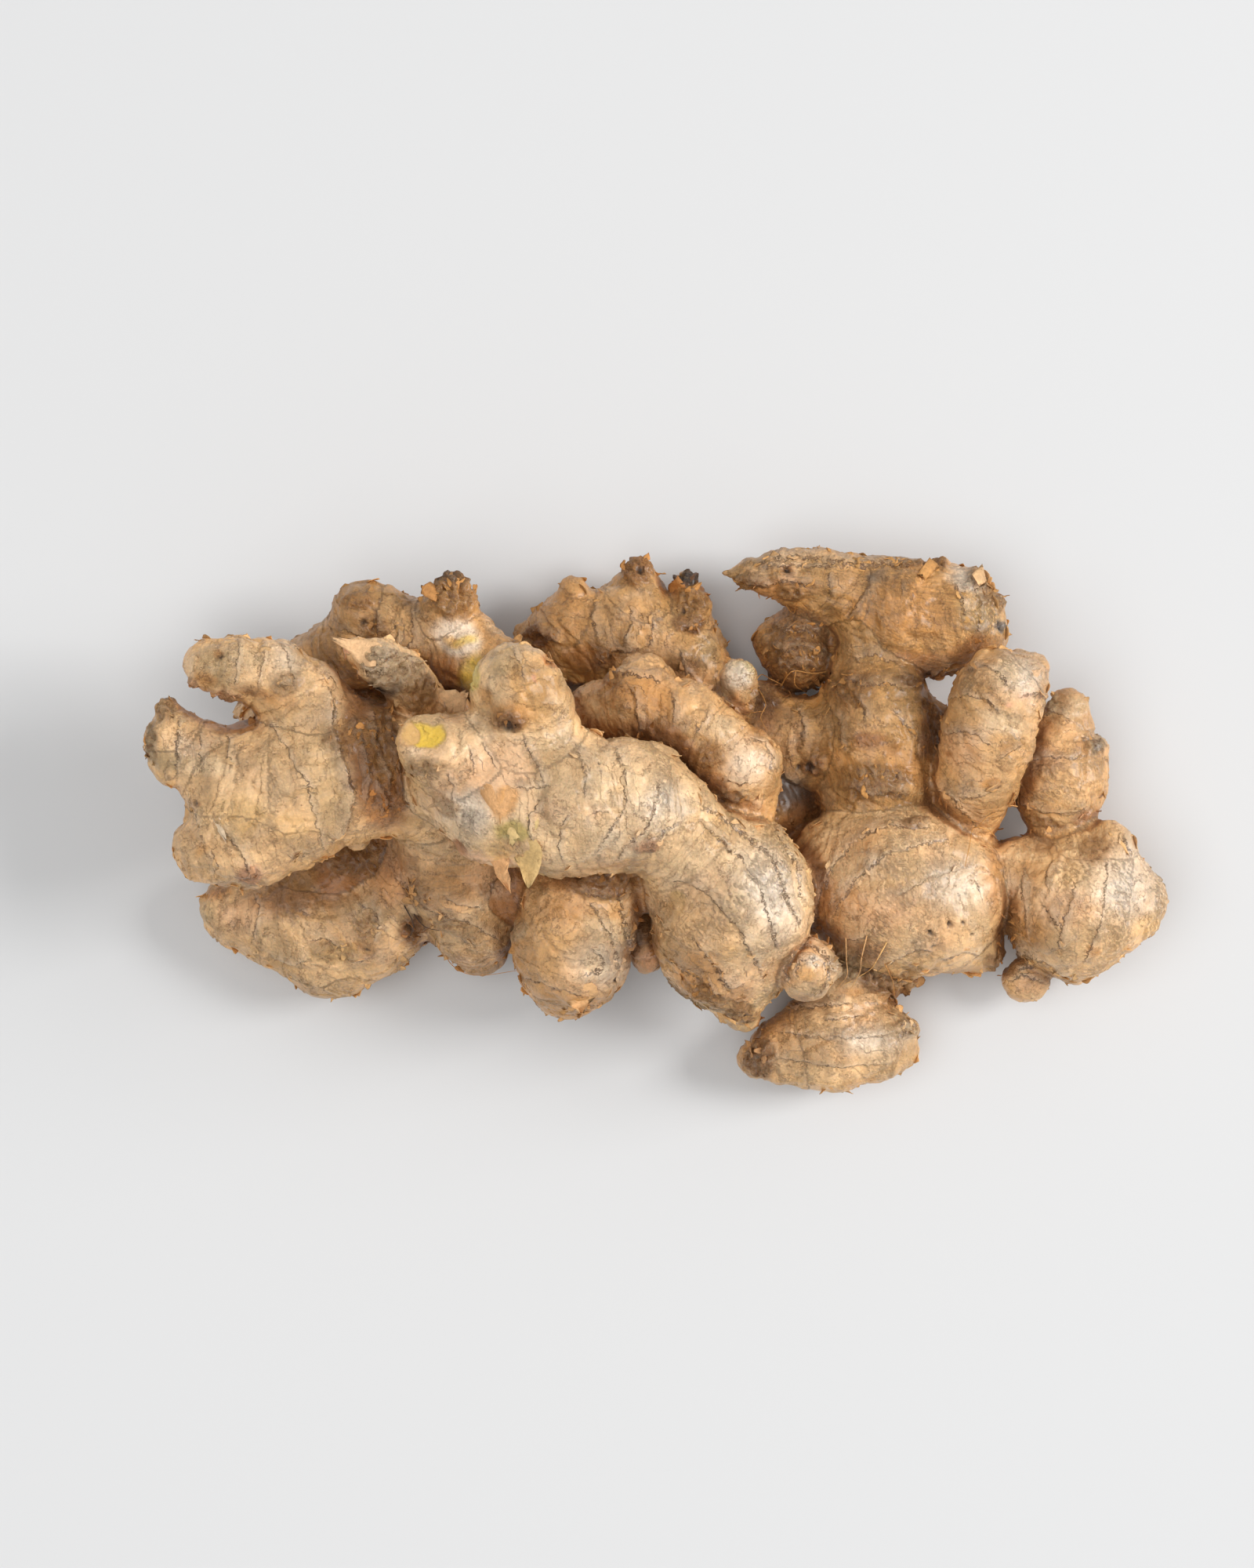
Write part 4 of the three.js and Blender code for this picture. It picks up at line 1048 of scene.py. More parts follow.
class FieldGrid:
    """The signed distance to the skin, on a regular grid over the whole piece."""

    FAR = 12.0
    REACH = 14.0

    def __init__(self, lobes: Sequence[Lobe], cell: float) -> None:
        """Fills the grid.

        Args:
            lobes: Every lobe, in blending order.
            cell: Edge of a grid cell, in mm.
        """
        self.cell = cell
        stations = np.array([station for lobe in lobes for station in lobe.stations])
        radii = stations[:, 3:]
        self.low = (stations[:, :3] - radii).min(axis=0) - 4 * cell
        high = (stations[:, :3] + radii).max(axis=0) + 4 * cell
        self.low[2] = -4 * cell
        self.shape = np.ceil((high - self.low) / cell).astype(int) + 1
        self.values = np.full(self.shape, self.FAR, np.float32)
        for lobe in lobes:
            self._add(lobe)
        heights = self.low[2] + cell * np.arange(self.shape[2])
        self.values = np.maximum(self.values, -heights[None, None, :].astype(np.float32))

    def _add(self, lobe: Lobe) -> None:
        """Blends one lobe into the grid, within its reach.

        Args:
            lobe: The lobe.
        """
        stations = np.array(lobe.stations)
        low = (stations[:, :3] - stations[:, 3:]).min(axis=0) - self.REACH
        high = (stations[:, :3] + stations[:, 3:]).max(axis=0) + self.REACH
        first = np.maximum(((low - self.low) / self.cell).astype(int), 0)
        last = np.minimum(((high - self.low) / self.cell).astype(int) + 1, self.shape)
        axes = [
            (self.low[i] + self.cell * np.arange(first[i], last[i])).astype(np.float32)
            for i in range(3)
        ]
        x, y, z = np.meshgrid(*axes, indexing="ij", sparse=True)
        part = tuple(slice(a, b) for a, b in zip(first, last))
        self.values[part] = smooth_min(self.values[part], lobe_distance(lobe, x, y, z), lobe.blend)

    def refine(self) -> None:
        """Halves the cell, with a cubic through the values along each axis."""
        for axis in range(3):
            old = np.moveaxis(self.values, axis, 0)
            new = np.empty((2 * len(old) - 1, *old.shape[1:]), np.float32)
            new[::2] = old
            new[1::2] = (old[:-1] + old[1:]) / 2
            new[3:-3:2] = (9 * (old[1:-2] + old[2:-1]) - old[:-3] - old[3:]) / 16
            self.values = np.moveaxis(new, 0, axis)
        self.cell /= 2
        self.shape = np.array(self.values.shape)

    def surface(self) -> tuple[np.ndarray, np.ndarray]:
        """Draws the skin through the grid.

        Returns:
            Its points, in layout mm, and its four-cornered faces.
        """
        grid = openvdb.FloatGrid(self.FAR)
        band = 4 * self.cell
        grid.copyFromArray(np.ascontiguousarray(np.clip(self.values, -band, band)))
        points, quads = grid.convertToQuads(isovalue=0.0)
        return points.astype(float) * self.cell + self.low, quads

    def sample(self, points: np.ndarray) -> np.ndarray:
        """Returns the field at points, blended between grid corners.

        Args:
            points: (n, 3) layout points, in mm.

        Returns:
            (n,) signed distances.
        """
        scaled = np.clip((points - self.low) / self.cell, 0, self.shape - 1.001)
        cell = scaled.astype(int)
        part = scaled - cell
        total = np.zeros(len(points))
        for corner in itertools.product((0, 1), repeat=3):
            step = np.array(corner)
            weight = np.where(step, part, 1 - part).prod(axis=1)
            spot = cell + step
            total += weight * self.values[spot[:, 0], spot[:, 1], spot[:, 2]]
        return total


@dataclass
class SkinPoints:
    """What is known about every vertex of the skin.

    Attributes:
        points: (n, 3) layout points, in mm.
        normals: (n, 3) directions out of the skin.
        drawn: (n, 2) points on the plan.
        hand: Index of the hand that each vertex belongs to.
        lobe: Index of its lobe among all lobes.
        along: Distance along that lobe, in mm.
        grain: (n, 3) coordinates that run slowly along the lobe, in mm.
        rings: (n, 3) coordinates that run slowly round the lobe, in mm.
        openness: 1 where the skin is open to the air, 0 deep in a crevice.
    """

    points: np.ndarray
    normals: np.ndarray
    drawn: np.ndarray
    hand: np.ndarray
    lobe: np.ndarray
    along: np.ndarray
    grain: np.ndarray
    rings: np.ndarray
    openness: np.ndarray


class SkinSurvey:
    """Finds which lobe every vertex grew on and how open it lies."""

    SLOW = 0.16
    SLOW_ROUND = 0.45
    HEADING = np.array([0.62, 0.49, 0.61])
    LOBE_SHIFT = 31.0
    PROBES = (1.5, 3.5, 7.0, 11.0)

    def __init__(self, hands: Sequence[Hand], grid: FieldGrid, plan: Plan) -> None:
        """Keeps what the survey reads.

        Args:
            hands: Every hand, in blending order.
            grid: The field of the whole piece.
            plan: The drawing that marks are placed on.
        """
        self.hands = hands
        self.grid = grid
        self.plan = plan

    def run(self, points: np.ndarray, normals: np.ndarray) -> SkinPoints:
        """Surveys the skin.

        Args:
            points: (n, 3) layout points, in mm.
            normals: (n, 3) directions out of the skin.

        Returns:
            What is known about each vertex.
        """
        count = len(points)
        nearest = np.full(count, 1e9)
        hand_of = np.zeros(count, int)
        lobe_of = np.zeros(count, int)
        along = np.zeros(count)
        grain = np.zeros((count, 3))
        rings = np.zeros((count, 3))
        numbered = [(h, lobe) for h, hand in enumerate(self.hands) for lobe in hand.lobes]
        for number, (hand_number, lobe) in enumerate(numbered):
            stations = np.array(lobe.stations)
            low = (stations[:, :3] - stations[:, 3:]).min(axis=0) - 4
            high = (stations[:, :3] + stations[:, 3:]).max(axis=0) + 4
            near = np.flatnonzero(((points > low) & (points < high)).all(axis=1))
            distance, run, radial = self._follow(lobe, points[near])
            closer = distance < nearest[near]
            chosen = near[closer]
            nearest[chosen] = distance[closer]
            hand_of[chosen] = hand_number
            lobe_of[chosen] = number
            along[chosen] = run[closer]
            onward = run[closer, None] * self.HEADING
            grain[chosen] = radial[closer] + self.SLOW * onward + self.LOBE_SHIFT * number
            rings[chosen] = self.SLOW_ROUND * radial[closer] + onward + self.LOBE_SHIFT * number
        return SkinPoints(
            points, normals, self.plan.project(points), hand_of, lobe_of, along, grain,
            rings, self._openness(points, normals),
        )

    def _follow(self, lobe: Lobe, points: np.ndarray) -> tuple[np.ndarray, np.ndarray, np.ndarray]:
        """Follows one lobe past the points near it.

        Args:
            lobe: The lobe.
            points: (n, 3) layout points, in mm.

        Returns:
            Each point's distance to the lobe, its run along it and its offset from its middle line.
        """
        best = np.full(len(points), 1e9)
        run = np.zeros(len(points))
        radial = np.zeros((len(points), 3))
        covered = 0.0
        last = len(lobe.stations) - 2
        for number, (start, end) in enumerate(zip(lobe.stations, lobe.stations[1:])):
            origin = np.array(start[:3])
            axis = np.array(end[:3]) - origin
            length = np.linalg.norm(axis)
            share = (points - origin) @ axis / length**2
            low = -1.0 if number == 0 else 0.0
            high = 2.0 if number == last else 1.0
            share = np.clip(share, low, high)
            distance = segment_distance(*points.T, start, end)
            closer = distance < best
            best[closer] = distance[closer]
            run[closer] = covered + share[closer] * length
            radial[closer] = (points - origin - share[:, None] * axis)[closer]
            covered += length
        return best, run, radial

    def _openness(self, points: np.ndarray, normals: np.ndarray) -> np.ndarray:
        """Finds how far the air reaches out from each point.

        Args:
            points: (n, 3) layout points, in mm.
            normals: (n, 3) directions out of the skin.

        Returns:
            (n,) shares, 0 deep in a crevice and 1 in the open.
        """
        total = np.zeros(len(points))
        for probe in self.PROBES:
            ahead = self.grid.sample(points + normals * probe)
            total += np.clip(ahead / probe, 0, 1)
        return total / len(self.PROBES)


@dataclass(frozen=True)
class Cloud:
    """A broad, soft change of colour over the whole skin.

    Attributes:
        tint: Its colour.
        seed: Shift, in mm, that sets its pattern apart.
        size: Size of one cloud, in mm.
        octaves: How many finer layers break its edges.
        start: Noise at which it starts.
        full: Noise at which it is at its strongest.
        share: Its greatest share.
    """

    tint: Tint
    seed: float
    size: float
    octaves: int
    start: float
    full: float
    share: float


class SkinMarks:
    """Lays the scars, stains, painted highlights, painted shade, crusts and pits of every hand on the skin.

    Heights, widths and lengths are in mm; strengths and shares run from 0 to 1.
    """

    CLOUDS = (
        Cloud(Tint.ROSY, 400, 17, 3, 0.0, 0.6, 0.5),
        Cloud(Tint.GOLD, 400, 17, 3, -0.1, -0.6, 0.35),
        Cloud(Tint.CREAM, 600, 9, 4, 0.15, 0.6, 0.3),
        Cloud(Tint.BROWN, 800, 6, 4, 0.15, 0.6, 0.26),
    )
    # Strength of the painted shade on downward faces, and how much of each colour channel steep slopes lose
    # to painted shade.
    UNDERSIDE_SHADE = 0.35
    SLOPE_SHADE = np.array([0.0, 0.07, 0.22])
    SUNK = 0.35
    SWELL = 1.3
    BUMPS = 0.6
    CREASE = 0.5
    GRAINS = 0.08
    RING_PITCH = 6.2
    RING_WANDER = 2.2
    RING_ON_TOP = 0.05
    RING_ON_SIDES = 0.4
    LEDGE = 0.55
    PALE_LAYER = 0.36
    BROWN_LAYER = 0.18
    FACING_UP = -0.15
    LINE_WIDTH = 0.35
    FAR_LINE = 4.0
    RIDGE = 1.5
    # Noise that breaks up the openness which sets the painted valley shade.
    OPENNESS_NOISE = 0.14

    def __init__(self, hands: Sequence[Hand], cut: CutFace, survey: SkinPoints) -> None:
        """Starts with bare skin.

        Args:
            hands: Every hand.
            cut: The cut face.
            survey: What is known about each vertex.
        """
        self.hands = hands
        self.cut = cut
        self.skin = survey
        count = len(survey.points)
        self.noise = LatticeNoise(11)
        self.height = np.zeros(count)
        self.scar = np.full(count, self.FAR_LINE)
        self.scar_strength = np.zeros(count)
        self.crust = np.zeros(count)
        self.flesh = np.zeros(count)
        self.peel = 3.4 * self.noise.layered(survey.rings + 2200, 9, 4) + 4
        self.tint = np.zeros((count, 3))
        points = survey.points
        shift = np.stack([self.noise.layered(points + 50 * i, 3.2, 3) for i in range(2)], axis=1)
        self.ragged = survey.drawn + 0.75 * shift
        self.blotch = self._layered(200, 5.0, 3)

    def lay_all(self) -> None:
        """Lays everything, from the broad shapes to the fine marks."""
        self._colour_clouds()
        self._swell()
        self._growth_rings()
        self._peel_layers()
        self._paint_crevice_shade()
        for number, hand in enumerate(self.hands):
            upper = (self.skin.hand == number) & (self.skin.normals[:, 2] > self.FACING_UP)
            own = np.flatnonzero(upper)
            for patch in hand.patches:
                self._tint_patch(own, patch)
            for scar in hand.scars:
                self._scar(own, scar)
            for crust in hand.crusts:
                self._crust(own, crust)
            for pit in hand.pits:
                self._pit(own, pit)
        self._cut_face()

    def _layered(self, seed: float, size: float, octaves: int) -> np.ndarray:
        """Returns noise over the whole skin, of a seed, a size in mm and a number of octaves."""
        return self.noise.layered(self.skin.points + seed, size, octaves)

    def _paint(self, tint: Tint, share: np.ndarray, where: np.ndarray | slice = ALL) -> None:
        """Lays a colour on the vertices (where), each by its share."""
        self.tint[where] = mix(self.tint[where], np.array(tint.value), share)

    def _colour_clouds(self) -> None:
        """Gives each hand its own colour, clouded by larger and smaller blotches, with painted shade: browner
        on downward faces, darker and warmer on steep slopes.
        """
        self.tint = np.array([hand.base.value for hand in self.hands])[self.skin.hand]
        for cloud in self.CLOUDS:
            noise = self._layered(cloud.seed, cloud.size, cloud.octaves)
            self._paint(cloud.tint, cloud.share * ramp(noise, cloud.start, cloud.full))
        upward = self.skin.normals[:, 2]
        # Painted shade: faces that turn downward are painted browner.
        self._paint(Tint.BROWN, self.UNDERSIDE_SHADE * ramp(upward, 0.35, -0.5))
        # Painted shade: steep slopes lose green and most of their blue, so they are painted darker and
        # warmer.
        slope = ramp(upward, 0.9, 0.25)
        self.tint *= 1 - slope[:, None] * self.SLOPE_SHADE

    def _swell(self) -> None:
        """Makes the smooth lobes uneven, as grown ones are."""
        self.height -= self.SUNK
        self.height += self.SWELL * self._layered(1000, 21, 2)
        self.height += self.BUMPS * self._layered(1200, 8, 2)
        creases = np.abs(self._layered(1300, 13, 3))
        self.height += self.CREASE * (ramp(creases, 0.0, 0.2) - 0.7)
        self.height += self.GRAINS * self._layered(1400, 3.2, 3)

    def _growth_rings(self) -> None:
        """Adds the regular rings of growth, faint on top and clear on the sides and underneath."""
        wander = self.RING_WANDER * self._layered(1800, 13, 3)
        offset = 2.3 * (self.skin.lobe % 5)
        turns = (self.skin.along + wander + offset) / self.RING_PITCH
        from_line = (turns - np.round(turns)) * self.RING_PITCH
        side = ramp(self.skin.normals[:, 2], 0.45, 0.0)
        strength = self.RING_ON_TOP + self.RING_ON_SIDES * side
        patchy = ramp(self._layered(2000, 8, 2), -0.35, 0.25)
        self.height -= strength * 0.5 * np.cos(from_line / self.RING_PITCH * 2 * math.pi)
        self._keep_line(np.arange(len(from_line)), from_line, 0.8 * strength * patchy)
        self.height -= 0.3 * strength * patchy * np.exp(-((from_line / 0.45) ** 2))

    def _peel_layers(self) -> None:
        """Ends the thin layers of skin in ragged ledges, each layer of a slightly different colour."""
        flaky = np.array([hand.flakes for hand in self.hands])[self.skin.hand]
        ledge = staircase(self.peel, 0.2) - self.peel
        self.height += self.LEDGE * (0.35 + flaky) * ledge
        layer = np.floor(self.peel + 0.5).astype(int)
        rng = np.random.default_rng(5)
        tones = rng.uniform(-1, 1, 64)[layer % 64]
        self._paint(Tint.PALE, self.PALE_LAYER * np.maximum(tones, 0))
        self._paint(Tint.BROWN, self.BROWN_LAYER * np.maximum(-tones, 0))

    def _keep_line(self, own: np.ndarray, from_line: np.ndarray, strength: np.ndarray) -> None:
        """Keeps the nearer or stronger of two lines at each vertex.

        Args:
            own: The vertices that the new line passes.
            from_line: Their signed distances from it, in mm.
            strength: How clear it is at each, 0 to 1.
        """
        reach = np.abs(from_line) + 1.4 * (1 - strength)
        kept = np.abs(self.scar[own]) + 1.4 * (1 - self.scar_strength[own])
        better = reach < kept
        chosen = own[better]
        self.scar[chosen] = np.clip(from_line[better], -self.FAR_LINE, self.FAR_LINE)
        self.scar_strength[chosen] = strength[better]

    def _scar(self, own: np.ndarray, scar: Scar) -> None:
        """Cuts one line and raises its left lip.

        Args:
            own: The hand's vertices.
            scar: The line.
        """
        path = np.array(scar.path, float)
        box_low, box_high = path.min(axis=0) - 5, path.max(axis=0) + 5
        place = self.ragged[own]
        near = own[((place > box_low) & (place < box_high)).all(axis=1)]
        if not len(near):
            return
        place = self.ragged[near]
        best = np.full(len(near), 1e9)
        signed = np.full(len(near), 1e9)
        run = np.zeros(len(near))
        covered = 0.0
        for start, end in zip(path, path[1:]):
            step = end - start
            length = np.linalg.norm(step)
            share = np.clip((place - start) @ step / length**2, 0, 1)
            away = place - start - share[:, None] * step
            distance = np.linalg.norm(away, axis=1)
            side = np.sign(step[0] * away[:, 1] - step[1] * away[:, 0])
            closer = distance < best
            best[closer] = distance[closer]
            signed[closer] = (distance * side)[closer]
            run[closer] = (covered + share * length)[closer]
            covered += length
        width, depth, rise = scar.cut.value
        fade = np.clip(np.minimum(run, covered - run) / 1.6 + 0.25, 0, 1)
        self._keep_line(near, signed * (self.LINE_WIDTH / width), fade)
        groove = 0.5 * depth * np.exp(-((signed / width) ** 2))
        lip = 1.9 * rise * np.exp(-np.maximum(signed, 0) / 3.0) * ramp(signed, -0.35, 0.35)
        self.height[near] += fade * np.where(best < 8, lip - groove, 0)

    def _inside(
        self, own: np.ndarray, at: Plan2, size: Plan2, turn: float
    ) -> tuple[np.ndarray, np.ndarray]:
        """Finds the vertices near a turned oval.

        Args:
            own: The hand's vertices.
            at: Middle of the oval on the plan, in mm.
            size: Its half length and half width, in mm.
            turn: Direction of its length, in degrees from X.

        Returns:
            The vertices, and how far out in the oval each lies (1 is its edge).
        """
        middle = np.array(at)
        reach = 1.7 * max(size)
        place = self.ragged[own]
        near = own[(np.abs(place - middle) < reach).all(axis=1)]
        away = self.ragged[near] - middle
        angle = math.radians(turn)
        length = away[:, 0] * math.cos(angle) + away[:, 1] * math.sin(angle)
        width = -away[:, 0] * math.sin(angle) + away[:, 1] * math.cos(angle)
        return near, np.hypot(length / size[0], width / size[1])

    def _tint_patch(self, own: np.ndarray, patch: Patch) -> None:
        """Tints one patch.

        Args:
            own: The hand's vertices.
            patch: The patch.
        """
        near, out = self._inside(own, patch.at, patch.size, patch.turn)
        out = out + 0.22 * self.blotch[near]
        share = min(1.2 * patch.share, 1) * ramp(out, 1 + 0.5 * patch.edge, 1 - patch.edge)
        self._paint(patch.tint, share, near)

    def _crust(self, own: np.ndarray, crust: Crust) -> None:
        """Roughens and tints one area of dry tissue.

        Args:
            own: The hand's vertices.
            crust: The area.
        """
        near, out = self._inside(own, crust.at, crust.size, crust.turn)
        points = self.skin.points[near]
        out = out + 0.3 * self.blotch[near]
        share = ramp(out, 1.15, 0.55)
        ridges = 1 - np.abs(self.noise.layered(points + 2400, 3.4, 3)) * 3.4
        self.height[near] += self.RIDGE * crust.height * share * (0.1 + 0.9 * ridges)
        self._paint(crust.tint, 0.6 * share, near)
        self.crust[near] = np.maximum(self.crust[near], share)

    def _pit(self, own: np.ndarray, pit: Pit) -> None:
        """Sinks one round hole.

        Args:
            own: The hand's vertices.
            pit: The hole.
        """
        near, out = self._inside(own, pit.at, (pit.radius, pit.radius), 0)
        share = ramp(out, 1.25, 0.5)
        self.height[near] -= pit.depth * share
        rim = np.exp(-(((out - 1.35) / 0.3) ** 2))
        self.height[near] += 0.12 * rim
        # Painted shade: the hole is painted near black.
        self._paint(Tint.NEAR_BLACK, 0.9 * share, near)

    def _paint_crevice_shade(self) -> None:
        """Paints shade into the valleys between lobes: the less open the skin lies, the redder and darker it
        is painted.
        """
        # Painted shade: openness, broken up by noise, sets how deep the painted valley shade goes.
        broken_openness = self.skin.openness + self.OPENNESS_NOISE * self._layered(2600, 7, 4)
        crevice_shade = ramp(broken_openness, 0.74, 0.3)
        self._paint(Tint.REDDISH, 0.8 * crevice_shade)
        self._paint(Tint.DARK, 0.85 * ramp(broken_openness, 0.5, 0.18))
        # The painted valley shade also gets the crust mark, which roughens it, raises torn relief and flecks
        # it dark and pale.
        self.crust = np.maximum(self.crust, 0.5 * crevice_shade)

    def _cut_face(self) -> None:
        """Flattens the cut finger and bares its flesh."""
        middle = np.array(self.cut.middle)
        facing = np.array(self.cut.facing) / np.linalg.norm(self.cut.facing)
        away = self.skin.points - middle
        near = np.flatnonzero(np.linalg.norm(away, axis=1) < self.cut.reach)
        above = away[near] @ facing
        over = above > -0.6
        chosen = near[over]
        lean = np.maximum(self.skin.normals[chosen] @ facing, 0.45)
        drop = np.maximum(above[over] + 0.15, 0) / lean
        self.height[chosen] = 0.25 * self.height[chosen] - drop
        for patch in self.cut.flesh:
            spots, out = self._inside(chosen, patch.at, patch.size, patch.turn)
            share = patch.share * ramp(out, 1.06, 0.9)
            self._paint(patch.tint, share, spots)
            self.flesh[spots] = np.maximum(self.flesh[spots], share)
            self.crust[spots] *= 1 - share
            self.scar_strength[spots] *= 1 - share
            self.height[spots] -= 0.3 * ramp(out, 1.05, 0.85)


class NodeGraph:
    """Builds a material's nodes with short calls."""

    def __init__(self, name: str) -> None:
        """Makes an empty material.

        Args:
            name: The material's name.
        """
        self.material = bpy.data.materials.new(name)
        self.material.use_nodes = True
        self.tree = self.material.node_tree
        self.tree.nodes.clear()

    def node(self, kind: str, inputs: dict | None = None, **settings: object) -> bpy.types.Node:
        """Adds a node, sets its properties, and fills or links its inputs.

        Args:
            kind: Blender's node type, without "ShaderNode".
            inputs: Input name or number to a value, or to a socket to link.
            **settings: Properties of the node.

        Returns:
            The node.
        """
        made = self.tree.nodes.new("ShaderNode" + kind)
        for key, value in settings.items():
            setattr(made, key, value)
        for key, value in (inputs or {}).items():
            if isinstance(value, bpy.types.NodeSocket):
                self.tree.links.new(value, made.inputs[key])
            else:
                made.inputs[key].default_value = value
        return made

    def math(self, operation: str, a: object, b: object = 0.0, clamp: bool = False) -> Socket:
        """Returns the result of a sum on one or two values or sockets."""
        return self.node("Math", {0: a, 1: b}, operation=operation, use_clamp=clamp).outputs[0]

    def remap(
        self, value: Socket, start: float, end: float, low: float = 0.0, high: float = 1.0
    ) -> Socket:
        """Returns value taken smoothly from start..end to low..high."""
        ends = {"Value": value, "From Min": start, "From Max": end, "To Min": low, "To Max": high}
        return self.node("MapRange", ends, interpolation_type="SMOOTHSTEP").outputs["Result"]

    def noise(
        self, place: Socket, scale: float, detail: float = 3.0, rough: float = 0.55
    ) -> Socket:
        """Returns noise, about 0 to 1, at a place in mm."""
        settings = {"Vector": place, "Scale": scale, "Detail": detail, "Roughness": rough}
        return self.node("TexNoise", settings).outputs["Fac"]

    def attribute(self, name: str, output: str = "Fac") -> Socket:
        """Returns a vertex attribute."""
        return self.node("Attribute", attribute_name=name).outputs[output]

    def blend(self, under: object, over: object, share: object, mode: str = "MIX") -> Socket:
        """Returns two colours mixed by share."""
        made = self.node("Mix", {0: share, 6: under, 7: over}, data_type="RGBA", blend_type=mode)
        return made.outputs[2]

    def millimetres(self) -> Socket:
        """Returns the object's own coordinates, in mm."""
        place = self.node("TexCoord").outputs["Object"]
        return self.node("VectorMath", {0: place, 3: 1 / MM}, operation="SCALE").outputs[0]

    def finish(self, shader: bpy.types.Node) -> bpy.types.Material:
        """Links a shader to the output.

        Args:
            shader: The shader's node.

        Returns:
            The finished material.
        """
        output = self.node("OutputMaterial")
        self.tree.links.new(shader.outputs[0], output.inputs["Surface"])
        return self.material


